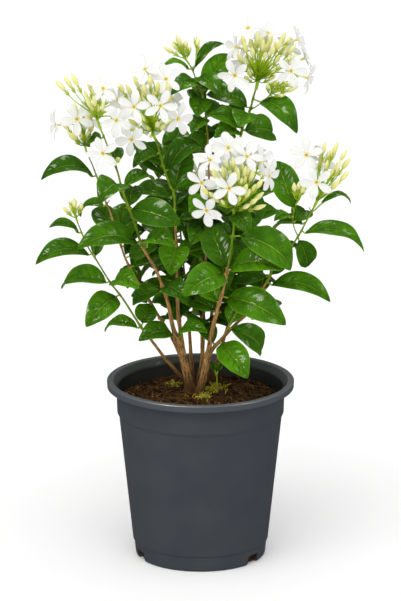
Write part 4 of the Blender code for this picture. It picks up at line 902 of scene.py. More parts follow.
def best_fit(nudges, lay, tree_of, allowed, others, own):
    """The first nudge clear of the others and its own kind, else the one that meets least."""
    best, best_score = None, None
    for nudge in nudges:
        piece = lay(nudge)
        if not allowed(piece):
            continue
        trees = tree_of(piece, CLEARANCE / 2)
        hits = sum(crossings(tree, others) for tree in trees)
        if best_score is not None and hits > best_score[0]:
            continue
        own_hits = sum(crossings(tree, own) for tree in trees)
        if hits == 0 and own_hits == 0:
            return piece
        if best_score is None or (hits, own_hits) < best_score:
            best, best_score = piece, (hits, own_hits)
    return best if best_score and best_score[0] == 0 else None


def leaf_trees(leaf, gap):
    petiole = [leaf["root"].lerp(leaf["base"], 0.5), leaf["base"]]
    return [blade_tree(leaf, gap), prism_tree(petiole, [PETIOLE_WIDTH / 2 + gap / 2] * 2)]


def flower_trees(flower, gap):
    route = flower["route"]
    start = route[0].lerp(route[1], PEDICEL_CLEAR)
    return [star_tree(flower, gap),
            prism_tree([start] + route[1:], [gap, TUBE_RADIUS + gap, TUBE_RADIUS + gap])]


def bud_trees(bud, gap):
    route = bud["route"]
    start = route[0].lerp(route[1], PEDICEL_CLEAR)
    return [prism_tree([start] + route[1:], [gap, BUD_RADIUS + gap, gap])]


def stalk_route(row, hub, branches):
    """Where a head's stalk seats on its stem: on the cut end, or beside the stem."""
    route, radii = branches[row["stem"] or ("stem_left", "front")]
    if row["stem"]:
        out = end_run(route)
        start = route[-1] + out * SEAT
        return [start, start + out * STALK_SEAT, hub], radii[-1]
    places = [(route[i].lerp(route[i + 1], k / SEARCH_STEPS), radii[i])
              for i in range(len(route) - 1) for k in range(SEARCH_STEPS + 1)]
    point, radius = min(places, key=lambda place: (place[0] - hub).length)
    out = (hub - point).normalized()
    return [point + out * (radius + SEAT), hub], SIDE_STALK_RADIUS


def grow_plan():
    """The routes of all branches, then the clear places of all flowers, buds and leaves."""
    branches = {}
    for stem, parts in STEMS.items():
        for number, (branch, row) in enumerate(parts.items()):
            branches[stem, branch] = branch_route(row, in_soil=number == 0)
    stem_trees = {key: prism_tree(*branch) for key, branch in branches.items()}
    head_trees = {name: [] for name in HEADS}
    heads = {}
    for name, row in HEADS.items():
        hub = spot(*row["hub"])
        others = [tree for key, tree in stem_trees.items() if key != row["stem"]]
        if row["stem"]:
            route, radii = branches[row["stem"]]
            shortened = route[:-1] + [route[-1] - end_run(route) * HEAD_END_GAP]
            others.append(prism_tree(shortened, radii))
        stalk, radius = stalk_route(row, hub, branches)
        own = [prism_tree(stalk[-2:], [radius] * 2)]
        head_trees[name] += own
        spins = random.Random(name)
        placed = {"hub": hub, "flowers": [], "buds": []}
        for kind, lay, trees_of, nudges in (
                ("flowers", lay_flower, flower_trees, FLOWER_NUDGES),
                ("buds", lay_bud, bud_trees, BUD_NUDGES)):
            for spec in row[kind]:
                extra = (spins.uniform(0, math.tau / LOBES),) if kind == "flowers" else ()
                piece = best_fit(nudges, lambda nudge: lay(hub, spec, nudge, *extra), trees_of,
                                 lambda _: True, others + all_but(head_trees, name),
                                 head_trees[name])
                if piece:
                    placed[kind].append(piece)
                    head_trees[name] += trees_of(piece, OWN_CLEARANCE)
        heads[name] = placed
    of_heads = all_but(head_trees)
    leaves = {stem: [] for stem in STEMS}
    placed_trees = {stem: [] for stem in STEMS}
    for (stem, branch), rows in LEAVES.items():
        route = branches[stem, branch][0]
        for row in rows:
            others = of_heads + [tree for key, tree in stem_trees.items() if key[0] != stem]
            others += all_but(placed_trees, stem)
            leaf = best_fit(LEAF_NUDGES, lambda nudge: lay_leaf(route, row, nudge),
                            leaf_trees, above_pot, others, placed_trees[stem])
            if leaf:
                leaves[stem].append(leaf)
                placed_trees[stem] += leaf_trees(leaf, OWN_CLEARANCE)
    placed = of_heads + all_but(placed_trees)
    return branches, heads, leaves, shade_leaves(branches, heads, placed, stem_trees)


LEAF_NUDGES = ordered_nudges(
    ((0, -8, 8, -16, 16, -26, 26, -38, 38), (0, 18, -18, 36), (0, 4, -4, 8, -8),
     (0, 4, -4, 8, -8)), (0.125, 0.07, 0.4, 0.4))
FLOWER_NUDGES = ordered_nudges(
    ((0, -5, 5, -10, 10, -16, 16, 22), (0, 14, -14, 28, -28), (0, 14, -14, 28, -28)),
    (0.2, 0.07, 0.07))
BUD_NUDGES = [(0,), (-4,), (4,), (-8,), (8,), (-13,), (13,), (-18,), (18,)]

# What the solids leave out, as pixels of the reference picture. A tuft of moss is its place,
# its spread and its count of blades. A surface root is its start, its end and its lift.
MOSS_TUFTS = (
    ((175, 385), 4.8, 60),
    ((215, 389), 6.2, 105),
    ((203, 397), 5.0, 64),
    ((196, 391), 3.4, 26),
)
SURFACE_ROOTS = (
    ((192, 378), (203, 384), 2.2),
    ((194, 374), (199, 388), 3.0),
    ((206, 379), (214, 391), 1.6),
    ((186, 390), (176, 395), 1.2),
)

# Where a branch is still full bark and where it is green, as shares of its length
SHOOT_AGES = {
    ("stem_left", "trunk"): (2.0, 3.0),
    ("stem_left", "front"): (0.42, 0.62),
    ("stem_left", "middle"): (0.5, 0.75),
    ("stem_left", "rear"): (0.78, 0.95),
    ("stem_far_left", "main"): (0.28, 0.5),
    ("stem_centre", "main"): (0.70, 0.85),
    ("stem_centre", "twig"): (-2.0, -1.0),
    ("stem_right_rear", "main"): (0.66, 0.84),
    ("stem_right_rear", "twig"): (-2.0, -1.0),
    ("stem_right", "trunk"): (2.0, 3.0),
    ("stem_right", "front"): (0.55, 0.8),
    ("stem_right", "side"): (0.4, 0.65),
    ("stem_right", "low_twig"): (0.3, 0.9),
    ("stem_right", "bud_twig"): (-2.0, -1.0),
}

# The middle and the spread of the leaves' tones, outside and deep in the crown; the darker tones
# deep in the crown are painted shade
LEAF_TONES = (0.42, 0.17)
PAINTED_SHADE_TONES = (0.17, 0.14)

# The leaves deep in the crown, which the solids leave out. They stay within this outline of
# the reference picture and behind what stands in front of it.
SHADE_OUTLINE = (
    (164, 66), (184, 80), (198, 70), (206, 54), (225, 60), (226, 86), (250, 90), (247, 118),
    (272, 126), (270, 146), (296, 166), (302, 206), (308, 250), (294, 262), (280, 262),
    (282, 300), (284, 322), (258, 316), (252, 348), (232, 336), (214, 334), (204, 338),
    (188, 332), (172, 318), (150, 304), (136, 314), (118, 296), (116, 272), (128, 264),
    (116, 248), (96, 246), (92, 226), (112, 206), (132, 206), (134, 186), (152, 178),
    (128, 158), (118, 146), (152, 128), (176, 112))
SHADE_COUNT = 150
SHADE_TRIES = 60
SHADE_LENGTH = (30 * MM, 48 * MM)
SHADE_NEAREST = -16 * MM
SHADE_LOWEST = 232 * MM
SHADE_CLEAR = 1.2 * MM
SHADE_ALONG = (0.25, 0.97)
SHADE_RISE = (-30, 25)
SHADE_BACK = 70 * MM
SHADE_FACING = (0.3, 1.4)
SHADE_ARCH = (0.14, 0.3)
SHADE_BREADTH = (0.54, 0.64)

# Small buds that a head has beside those of its solid, by the place of their tips
EXTRA_BUDS = {
    "head_top_right": (
        (250, 38, 14), (255, 40, 30), (262, 36, 20), (268, 42, 2), (276, 41, 20),
        (283, 47, 30), (288, 58, 24), (284, 64, 10), (246, 58, 4), (243, 62, 20),
        (250, 56, 34), (266, 52, -20), (280, 55, -14), (248, 70, 0), (276, 68, 0),
        (260, 50, 40), (272, 60, 44), (244, 76, 6), (276, 76, 14)),
    "head_front": (
        (218, 175, -96), (242, 178, -98), (247, 184, -96), (226, 160, -92), (256, 184, -88),
        (258, 198, -86), (250, 204, -84), (221, 200, -96), (240, 196, -98), (209, 192, -92),
        (236, 166, -84), (243, 163, -80), (230, 170, -88), (249, 168, -84), (238, 174, -92),
        (246, 176, -90), (234, 160, -78)),
    "head_middle_left": (
        (154, 112, -60), (142, 116, -58), (146, 126, -54), (158, 122, -56), (137, 126, -50),
        (150, 136, -50), (126, 84, -30), (154, 90, -50)),
    "head_upper_left": (
        (92, 88, -44), (98, 104, -52), (90, 103, -50), (100, 94, -40), (84, 90, -42)),
    "head_left": ((72, 132, -34), (80, 132, -34), (88, 130, -30), (92, 110, -24)),
    "head_right": (
        (328, 160, -24), (334, 168, -28), (322, 152, -10), (330, 150, 2), (340, 168, -8)),
}

# How many calyxes without a flower stand among the others of a head
SPENT_CALYXES = {
    "head_top_right": 70,
    "head_front": 36,
    "head_middle_left": 36,
    "head_upper_left": 24,
    "head_left": 20,
    "head_right": 20,
    "head_back_left": 14,
    "head_back_right": 14,
    "buds_side": 12,
}


def pixel_of(place):
    """The pixel of the reference picture in which a place is seen."""
    off = place - Vector((0, -VIEW_BACK, VIEW_HEIGHT))
    ahead = off.y * math.cos(VIEW_TILT) - off.z * math.sin(VIEW_TILT)
    upwards = off.y * math.sin(VIEW_TILT) + off.z * math.cos(VIEW_TILT)
    return (VIEW_CENTRE[0] + VIEW_FOCUS * off.x / ahead,
            VIEW_CENTRE[1] - VIEW_FOCUS * upwards / ahead)


def within(pixel, outline):
    """Whether a pixel lies within a closed outline."""
    u, v = pixel
    inside = False
    for (u0, v0), (u1, v1) in zip(outline, outline[1:] + outline[:1]):
        if (v0 > v) != (v1 > v) and u < u0 + (u1 - u0) * (v - v0) / (v1 - v0):
            inside = not inside
    return inside


def shade_leaf(route, draw):
    """A leaf that grows from a random place of a branch, in a random direction."""
    at = draw.uniform(*SHADE_ALONG) * (len(route) - 1)
    root = route[int(at)].lerp(route[min(int(at) + 1, len(route) - 1)], at - int(at))
    out = polar(1, draw.uniform(0, math.tau))
    rise = math.radians(draw.uniform(*SHADE_RISE))
    chord = out * math.cos(rise) + Vector((0, 0, math.sin(rise)))
    length = draw.uniform(*SHADE_LENGTH)
    base = root + chord * PETIOLE_LENGTH
    tip = base + chord * length
    viewer = Vector((0, -0.7 if root.y < SHADE_BACK else 0.5, 0))
    wish = Vector((0, 0, 1)) + (out * 0.4 + viewer) * draw.uniform(*SHADE_FACING)
    normal = (wish - chord * wish.dot(chord)).normalized()
    return {"root": root, "base": base, "tip": tip, "chord": chord, "normal": normal,
            "arch": length * draw.uniform(*SHADE_ARCH),
            "width": length * draw.uniform(*SHADE_BREADTH)}


def shade_leaves(branches, heads, placed, stem_trees):
    """The leaves deep in the crown: seeded draws, kept where they fit and hide no flower."""
    draw = random.Random("shade")
    blooms = [(pixel_of(flower["centre"]), FLOWER_RADIUS / MM, flower["centre"].y)
              for head in heads.values() for flower in head["flowers"]]
    blooms += [(pixel_of(bud["route"][1]), BUD_LENGTH / MM / 2, bud["route"][1].y)
               for head in heads.values() for bud in head["buds"]]
    keys = [key for key in branches if key[1] not in ("trunk", "twig", "bud_twig")]
    found = {stem: [] for stem, _ in branches}
    for _ in range(SHADE_COUNT):
        for _ in range(SHADE_TRIES):
            key = draw.choice(keys)
            leaf = shade_leaf(branches[key][0], draw)
            samples = [blade_place(leaf, t, across) for t in (0.3, 0.65) for across in (-1, 1)]
            samples += [leaf["base"], leaf["tip"]]
            if any(place.z < SHADE_LOWEST or place.y < SHADE_NEAREST for place in samples):
                continue
            pixels = [pixel_of(place) for place in samples]
            if not all(within(pixel, SHADE_OUTLINE) for pixel in pixels):
                continue
            if any(place.y < y and math.dist(pixel, centre) < radius
                   for place, pixel in zip(samples, pixels) for centre, radius, y in blooms):
                continue
            trees = leaf_trees(leaf, SHADE_CLEAR)
            others = placed + [tree for other, tree in stem_trees.items() if other != key]
            if any(crossings(tree, others) for tree in trees):
                continue
            found[key[0]].append(leaf)
            placed += leaf_trees(leaf, OWN_CLEARANCE)
            break
    return found


GROWTH = {}


def growth():
    """The growth plan, worked out once: its branches, heads and leaves."""
    if not GROWTH:
        keys = ("branches", "heads", "leaves", "shade")
        GROWTH.update(zip(keys, grow_plan()))
    return GROWTH


def colour(name, description, default):
    return FloatVectorProperty(name=name, description=description, default=(*default, 1.0),
                               size=4, min=0.0, max=1.0, subtype="COLOR")


def length(name, description, default):
    return FloatProperty(name=name, description=description, default=default, min=0.0,
                         subtype="DISTANCE", unit="LENGTH", precision=5)


def share(name, description, default):
    return FloatProperty(name=name, description=description, default=default, min=0.0,
                         max=1.0, subtype="FACTOR")


def strength(name, description, default):
    return FloatProperty(name=name, description=description, default=default, min=0.0)


class JasminePotSettings(bpy.types.PropertyGroup):
    """Sizes and colours of the pot"""
    edge: length("Edge radius", "How far the moulded edges are rounded", 0.45 * MM)
    plastic: colour("Plastic", "The slate-grey plastic", (0.037, 0.047, 0.063))
    # The pale of the rim: rubbed wear, and also the painted highlight on the rim's top edge and
    # skirt.
    pale_wear_and_highlight: colour("Worn edge", "Where the rim has been rubbed pale", (0.125, 0.140, 0.155))
    dust: colour("Dust", "Dried splashes of peat on the wall", (0.10, 0.082, 0.064))


class JasmineSoilSettings(bpy.types.PropertyGroup):
    """Sizes and colours of the soil and of what lies on it"""
    crumbs: IntProperty(name="Crumbs", description="Loose crumbs on the soil", default=1500, min=0)
    fibres: IntProperty(name="Fibres", description="Loose bark fibres", default=190, min=0)
    crumb: length("Crumb", "Size of a middling crumb", 2.3 * MM)
    damp: colour("Damp peat", "The dark of the peat", (0.010, 0.0045, 0.0025))
    dry: colour("Dry peat", "The lighter crumbs", (0.085, 0.040, 0.012))
    fibre: colour("Fibre", "The orange-brown bark fibres", (0.24, 0.11, 0.030))
    moss: colour("Moss", "The moss tufts", (0.84, 0.72, 0.02))


class JasmineWoodSettings(bpy.types.PropertyGroup):
    """Sizes and colours of trunks and shoots"""
    fissure: share("Fissure depth", "Depth of the bark's folds in its radius", 0.13)
    bark: colour("Bark", "The tan bark", (0.46, 0.235, 0.07))
    deep: colour("Fissures", "The dark between its plates", (0.085, 0.034, 0.010))
    shoot: colour("Shoot", "The green of young shoots", (0.30, 0.44, 0.012))


class JasmineLeafSettings(bpy.types.PropertyGroup):
    """Sizes and colours of the leaves"""
    quilt: length("Quilting", "How far the blade swells between its veins", 1.4 * MM)
    old: colour("Old leaf", "The deep green of old leaves", (0.024, 0.108, 0.001))
    young: colour("Young leaf", "The bright green of young leaves", (0.104, 0.335, 0.001))
    rib: colour("Midrib", "The pale midrib and veins", (0.34, 0.58, 0.05))
    under: colour("Underside", "The matt sage underside", (0.17, 0.29, 0.055))


class JasmineFlowerSettings(bpy.types.PropertyGroup):
    """Sizes and colours of flowers and buds"""
    tooth: length("Calyx tooth", "Length of a calyx tooth", 5.0 * MM)
    petal: colour("Petal", "The white of the petals", (0.915, 0.915, 0.885))
    throat: colour("Throat", "The yellow of the throat", (0.90, 0.74, 0.10))
    bud: colour("Bud", "The cream of the buds", (0.88, 0.85, 0.31))
    tender: colour("Tender green", "The yellow-green of calyx and pedicel", (0.47, 0.66, 0.010))
    deep: colour("Deep green", "The darker green within a head", (0.08, 0.25, 0.002))


class JasmineStageSettings(bpy.types.PropertyGroup):
    """Floor, light and camera"""
    floor: length("Floor", "Width of the floor", 60.0)
    paper: colour("Paper", "The pale floor", (0.93, 0.93, 0.93))
    sky: strength("Sky", "Strength of the even white light", 0.76)
    key: strength("Key light", "Strength of the wide sun from the left", 1.05)
    fill: strength("Fill light", "Strength of the wide sun from the right", 0.3)
    gloss: strength("Reflected sky", "Strength of the sky in highlights", 0.10)
    lens: FloatProperty(name="Lens", description="Focal length", default=294.13, min=1.0,
                        unit="CAMERA")


def put(tree, kind, values=(), **settings):
    """Adds a shader node; values pairs its inputs with numbers, colours or other sockets."""
    added = tree.nodes.new("ShaderNode" + kind)
    for name, value in settings.items():
        setattr(added, name, value)
    for key, value in dict(values).items():
        if isinstance(value, bpy.types.NodeSocket):
            tree.links.new(value, added.inputs[key])
        else:
            added.inputs[key].default_value = value
    return added


def calc(tree, operation, first, second=0.0):
    return put(tree, "Math", {0: first, 1: second}, operation=operation).outputs[0]


def times(tree, first, second):
    return calc(tree, "MULTIPLY", first, second)


def plus(tree, first, second):
    return calc(tree, "ADD", first, second)


def off_from(tree, value, middle=0.5):
    """How far a value lies to either side of a middle."""
    return calc(tree, "ABSOLUTE", calc(tree, "SUBTRACT", value, middle))


def swing(tree, value, width, start):
    """A value between 0 and 1, taken about its middle, widened, and added to a start."""
    return plus(tree, start, times(tree, calc(tree, "SUBTRACT", value, 0.5), width))


def eased(tree, value, low, high, start=0.0, end=1.0):
    """A value carried smoothly from start to end while it runs from low to high."""
    values = {"Value": value, "From Min": low, "From Max": high, "To Min": start, "To Max": end}
    return put(tree, "MapRange", values, interpolation_type="SMOOTHSTEP").outputs["Result"]


def mixed(tree, factor, first, second):
    return put(tree, "Mix", {0: factor, 6: first, 7: second}, data_type="RGBA").outputs[2]


def cloud(tree, vector, scale, detail=3.0, rough=0.55):
    values = {"Vector": vector, "Scale": scale, "Detail": detail, "Roughness": rough}
    return put(tree, "TexNoise", values).outputs["Fac"]


def mark(tree, name):
    """The number that an attribute holds at each point of a piece."""
    return put(tree, "Attribute", attribute_name=name).outputs["Fac"]


def place_of(tree):
    return put(tree, "TexCoord").outputs["Object"]


def height_of(tree, place):
    return put(tree, "SeparateXYZ", {0: place}).outputs["Z"]


def across_and_along(tree):
    """The two coordinates of a piece's own UV map."""
    split = put(tree, "SeparateXYZ", {0: put(tree, "UVMap", uv_map="UVMap").outputs["UV"]})
    return split.outputs["X"], split.outputs["Y"]


def bumped(tree, height, distance, strength):
    values = {"Height": height, "Distance": distance, "Strength": strength}
    return put(tree, "Bump", values).outputs["Normal"]


def node_group(name, inputs, outputs):
    """A decorator: the function's node group is made at the first call and found afterwards.
    The function gets the sockets of the inputs, and gives back one value for each output."""
    def decorate(build):
        def found_or_made(tree, **values):
            if name not in bpy.data.node_groups:
                made = bpy.data.node_groups.new(name, "ShaderNodeTree")
                add_socket = made.interface.new_socket
                for socket in inputs:
                    add_socket(socket, in_out="INPUT", socket_type="NodeSocketFloat")
                for socket in outputs:
                    add_socket(socket, in_out="OUTPUT", socket_type="NodeSocketFloat")
                given = made.nodes.new("NodeGroupInput")
                result = made.nodes.new("NodeGroupOutput")
                for socket, value in zip(outputs, build(made, given.outputs)):
                    made.links.new(value, result.inputs[socket])
            return put(tree, "Group", values, node_tree=bpy.data.node_groups[name]).outputs
        return found_or_made
    return decorate


@node_group("Leaf veins", ("Pairs", "Warp"), ("Rib", "Veins", "Net", "Edge"))
def leaf_veins(tree, given):
    """The net of a leaf: its midrib, its side veins that bend to the tip, and finer lines."""
    across, along = across_and_along(tree)
    side = times(tree, off_from(tree, across), 2.0)
    both = put(tree, "CombineXYZ", {0: across, 1: along}).outputs[0]
    wobble = times(tree, calc(tree, "SUBTRACT", cloud(tree, both, 9.0), 0.5), given["Warp"])
    bend = times(tree, calc(tree, "POWER", side, 1.5), VEIN_BEND)
    level = plus(tree, calc(tree, "SUBTRACT", along, bend), wobble)
    turn = calc(tree, "FRACT", times(tree, level, given["Pairs"]))
    near = times(tree, off_from(tree, turn), 2.0)
    veins = times(tree, eased(tree, near, 0.80, 1.0), eased(tree, side, 0.3, 1.0, 1.0, 0.0))
    cells = put(tree, "Mapping", {"Vector": both, "Scale": (16, 34, 1)}).outputs[0]
    edges = put(tree, "TexVoronoi", {"Vector": cells, "Scale": 1.0}, feature="DISTANCE_TO_EDGE")
    net = eased(tree, edges.outputs["Distance"], 0.0, 0.14, 1.0, 0.0)
    return eased(tree, side, 0.025, 0.085, 1.0, 0.0), veins, net, eased(tree, side, 0.93, 1.0)


@node_group("Streaks along a shoot", ("Scale", "Stretch"), ("Streaks", "Plates"))
def shoot_streaks(tree, given):
    """Streaks that run along a tube without a seam, for bark and for green stalks."""
    turn = times(tree, across_and_along(tree)[0], math.tau)
    height = times(tree, mark(tree, "along"), given["Stretch"])
    around = {0: calc(tree, "COSINE", turn), 1: calc(tree, "SINE", turn), 2: height}
    ring = put(tree, "CombineXYZ", around).outputs[0]
    plates = cloud(tree, ring, times(tree, given["Scale"], 0.45), 2.0)
    return cloud(tree, ring, given["Scale"], 4.0, 0.62), plates


@node_group("Mottle", ("Blotch", "Grain"), ("Blotches", "Grain"))
def mottle(tree, given):
    """Soft blotches over a surface, and a fine grain on them."""
    where = place_of(tree)
    blotches = eased(tree, cloud(tree, where, given["Blotch"]), 0.3, 0.7)
    return blotches, cloud(tree, where, given["Grain"], 2.0)


def finish(name, settings, **plain):
    """A decorator: the function's material is made at the first call and found afterwards.
    plain sets inputs of the Principled shader, and the function gives back what feeds others."""
    def decorate(build):
        def found_or_made():
            if name in bpy.data.materials:
                return bpy.data.materials[name]
            made = bpy.data.materials.new(name)
            made.use_nodes = True
            tree = made.node_tree
            inputs = tree.nodes["Principled BSDF"].inputs
            for key, value in plain.items():
                inputs[key.replace("_", " ")].default_value = value
            chosen = getattr(bpy.context.scene, settings)
            for key, value in build(tree, chosen).items():
                tree.links.new(value, inputs[key.replace("_", " ")])
            return made
        return found_or_made
    return decorate


@finish("slate plastic", "jasmine_pot", Specular_IOR_Level=0.9, Coat_Roughness=0.22)
def pot_finish(tree, chosen):
    blotches, grain = mottle(tree, Blotch=26.0, Grain=2400.0)
    where = place_of(tree)
    height = height_of(tree, where)
    rubbed = eased(tree, cloud(tree, where, 220.0, 4.0), 0.45, 0.75)
    # The top edge of the rim turns pale: partly rubbed wear, mostly a painted highlight where the
    # top catches the light.
    rim = eased(tree, height, POT_HEIGHT - POT_EDGE * 2, POT_HEIGHT)
    rim_wear_and_highlight = plus(tree, times(tree, rim, 0.6), times(tree, times(tree, rim, rubbed), 0.4))
    shelf = POT_HEIGHT - POT_SKIRT_HEIGHT
    # Everything above the shelf, the rim's outer skirt, is made paler as a painted highlight; it
    # also gets more coat.
    rim_skirt_highlight = eased(tree, height, shelf - POT_EDGE, shelf + POT_EDGE)
    base = mixed(tree, times(tree, blotches, 0.04), chosen.plastic, chosen.pale_wear_and_highlight)
    base = mixed(tree, rim_wear_and_highlight, base, chosen.pale_wear_and_highlight)
    base = mixed(tree, times(tree, rim_skirt_highlight, 0.22), base, chosen.pale_wear_and_highlight)
    low = eased(tree, height, 0.0, SPLASH_HEIGHT, 1.0, 0.0)
    specks = eased(tree, cloud(tree, where, 420.0, 5.0, 0.7), 0.60, 0.72)
    dusty = times(tree, specks, plus(tree, times(tree, low, 0.5), 0.10))
    base = mixed(tree, dusty, base, chosen.dust)
    flat = put(tree, "VectorMath", {0: where, 1: (1, 1, 0)}, operation="MULTIPLY")
    radius = put(tree, "VectorMath", {0: flat.outputs[0]}, operation="LENGTH").outputs["Value"]
    # The inner wall above the soil is darkened: painted shade inside the pot.
    inside = eased(tree, radius, POT_COLLAR_TOP_RADIUS - POT_WALL * 0.6,
                   POT_COLLAR_TOP_RADIUS - POT_WALL * 0.4, 0.72, 0.0)
    over_soil = eased(tree, height, SOIL_LEVEL - POT_EDGE, SOIL_LEVEL, 0.0, 1.0)
    base = mixed(tree, times(tree, inside, over_soil), base, POT_PAINTED_SHADE)
    rough = plus(tree, times(tree, blotches, 0.10), plus(tree, times(tree, grain, 0.10), 0.36))
    return {"Base_Color": base, "Roughness": rough,
            "Coat_Weight": plus(tree, times(tree, rim_skirt_highlight, 0.5), 0.12),
            "Normal": bumped(tree, grain, 0.12 * MM, 0.5)}


@finish("crumbly peat", "jasmine_soil", Specular_IOR_Level=0.06)
def soil_finish(tree, chosen):
    where = place_of(tree)
    fine = cloud(tree, where, 620.0, 5.0, 0.7)
    lumps = plus(tree, cloud(tree, where, 130.0, 3.0), times(tree, fine, 0.5))
    base = mixed(tree, eased(tree, lumps, 0.55, 0.95), chosen.damp, chosen.dry)
    base = mixed(tree, eased(tree, mark(tree, "tone"), 0.35, 0.9), base, chosen.fibre)
    base = mixed(tree, eased(tree, fine, 0.45, 0.25, 0.0, 0.6), base, chosen.damp)
    return {"Base_Color": base, "Roughness": eased(tree, fine, 0.2, 0.8, 0.75, 0.98),
            "Normal": bumped(tree, fine, 0.6 * MM, 0.9)}


@finish("moss", "jasmine_soil", Roughness=0.6, Specular_IOR_Level=0.3)
def moss_finish(tree, chosen):
    tint = mixed(tree, mark(tree, "tone"), MOSS_GREEN, chosen.moss)
    fine = cloud(tree, place_of(tree), 900.0)
    return {"Base_Color": mixed(tree, eased(tree, fine, 0.4, 0.7), tint, MOSS_BROWN),
            "Normal": bumped(tree, fine, 0.2 * MM, 0.5)}


@finish("tan bark", "jasmine_wood", Specular_IOR_Level=0.15)
def bark_finish(tree, chosen):
    streaks, plates = shoot_streaks(tree, Scale=2.6, Stretch=0.8)
    age = mark(tree, "age")
    where = place_of(tree)
    dark = eased(tree, streaks, 0.53, 0.40)
    old = mixed(tree, eased(tree, plates, 0.35, 0.7), chosen.bark, PALE_BARK)
    grime = eased(tree, cloud(tree, where, 95.0, 4.0), 0.45, 0.68)
    old = mixed(tree, times(tree, grime, 0.35), old, GRIMY_BARK)
    old = mixed(tree, times(tree, dark, 0.85), old, chosen.deep)
    # The bark is darker towards the soil line.
    soil_line = SOIL_LEVEL + SOIL_MOUND
    near_soil_darkening = eased(tree, height_of(tree, where), soil_line, soil_line + SOIL_LINE_DARK_REACH, 0.95, 0.0)
    old = mixed(tree, near_soil_darkening, old, chosen.deep)
    green = mixed(tree, eased(tree, streaks, 0.35, 0.65), chosen.shoot, DEEP_SHOOT)
    woody = eased(tree, swing(tree, plates, 0.7, age), 0.3, 0.7)
    return {"Base_Color": mixed(tree, woody, green, old),
            "Roughness": eased(tree, age, 0.0, 1.0, 0.42, 0.88),
            "Normal": bumped(tree, streaks, 0.7 * MM, 0.85)}


@finish("leaf upper face", "jasmine_leaf", Specular_IOR_Level=0.03, Coat_Weight=0.24,
        Coat_Roughness=0.18)
def leaf_finish(tree, chosen):
    rib, veins, net, edge = leaf_veins(tree, Pairs=VEIN_PAIRS, Warp=0.03)
    blotches, grain = mottle(tree, Blotch=55.0, Grain=1200.0)
    tone = swing(tree, blotches, 0.35, mark(tree, "tone"))
    base = mixed(tree, eased(tree, tone, 0.0, 1.0), chosen.old, chosen.young)
    for line, strength in ((veins, 0.20), (net, 0.07), (rib, 0.65), (edge, 0.35)):
        base = mixed(tree, times(tree, line, strength), base, chosen.rib)
    rough = plus(tree, times(tree, blotches, 0.12), plus(tree, times(tree, veins, 0.12), 0.30))
    sunk = plus(tree, times(tree, veins, -1.0), times(tree, rib, -0.9))
    fine = plus(tree, times(tree, grain, 0.12), times(tree, net, -0.16))
    return {"Base_Color": base, "Roughness": rough,
            "Normal": bumped(tree, plus(tree, sunk, fine), 1.2 * MM, 0.9)}


@finish("leaf underside", "jasmine_leaf", Specular_IOR_Level=0.35)
def underside_finish(tree, chosen):
    _, veins, net, _ = leaf_veins(tree, Pairs=VEIN_PAIRS, Warp=0.03)
    blotches, grain = mottle(tree, Blotch=70.0, Grain=1500.0)
    base = mixed(tree, times(tree, blotches, 0.3), chosen.under, UNDERSIDE_BLOTCH)
    base = mixed(tree, times(tree, veins, 0.5), base, UNDERSIDE_VEIN)
    return {"Base_Color": base, "Roughness": eased(tree, grain, 0.2, 0.8, 0.52, 0.72),
            "Normal": bumped(tree, plus(tree, veins, times(tree, net, 0.4)), 0.4 * MM, 0.7)}


@finish("leaf stalk", "jasmine_flower", Subsurface_Weight=0.25, Subsurface_Scale=2 * MM,
        Subsurface_Radius=(0.7, 1.0, 0.2), Coat_Weight=0.15, Coat_Roughness=0.25)
def stalk_finish(tree, chosen):
    streaks, plates = shoot_streaks(tree, Scale=2.0, Stretch=0.4)
    tone = swing(tree, streaks, 0.8, mark(tree, "tone"))
    return {"Base_Color": mixed(tree, eased(tree, tone, 0.0, 1.0), chosen.deep, chosen.tender),
            "Roughness": eased(tree, plates, 0.3, 0.7, 0.38, 0.55),
            "Normal": bumped(tree, streaks, 0.3 * MM, 0.5)}


@finish("white petal", "jasmine_flower", Subsurface_Weight=0.25, Subsurface_Scale=4 * MM,
        Subsurface_Radius=(1.0, 1.0, 0.9), Specular_IOR_Level=0.3)
def petal_finish(tree, chosen):
    across, along = across_and_along(tree)
    fan = calc(tree, "ABSOLUTE", calc(tree, "SINE", times(tree, across, 24.0)))
    # Fine lengthwise lines: the petal's veins, darkened further as painted shade in its creases.
    lines = times(tree, eased(tree, fan, 0.30, 0.0), eased(tree, along, 0.95, 0.3))
    soft = cloud(tree, place_of(tree), 240.0, 3.0)
    # The petal's edges and tip are darkened: painted shade that outlines each petal.
    rim = eased(tree, off_from(tree, across), 0.36, 0.5)
    ends = calc(tree, "MAXIMUM", rim, eased(tree, along, 0.86, 1.0))
    base = mixed(tree, times(tree, lines, 0.35), chosen.petal, PETAL_VEIN_AND_CREASE_SHADE)
    base = mixed(tree, eased(tree, soft, 0.5, 0.8, 0.0, 0.12), base, PETAL_BLOTCH)
    base = mixed(tree, times(tree, ends, 0.45), base, PETAL_EDGE_SHADE)
    base = mixed(tree, mark(tree, "warm"), base, chosen.throat)
    base = mixed(tree, mark(tree, "leafy"), base, TUBE_GREEN)
    relief = plus(tree, soft, times(tree, lines, -0.4))
    return {"Base_Color": base, "Roughness": eased(tree, soft, 0.2, 0.8, 0.45, 0.65),
            "Normal": bumped(tree, relief, 0.3 * MM, 0.45)}


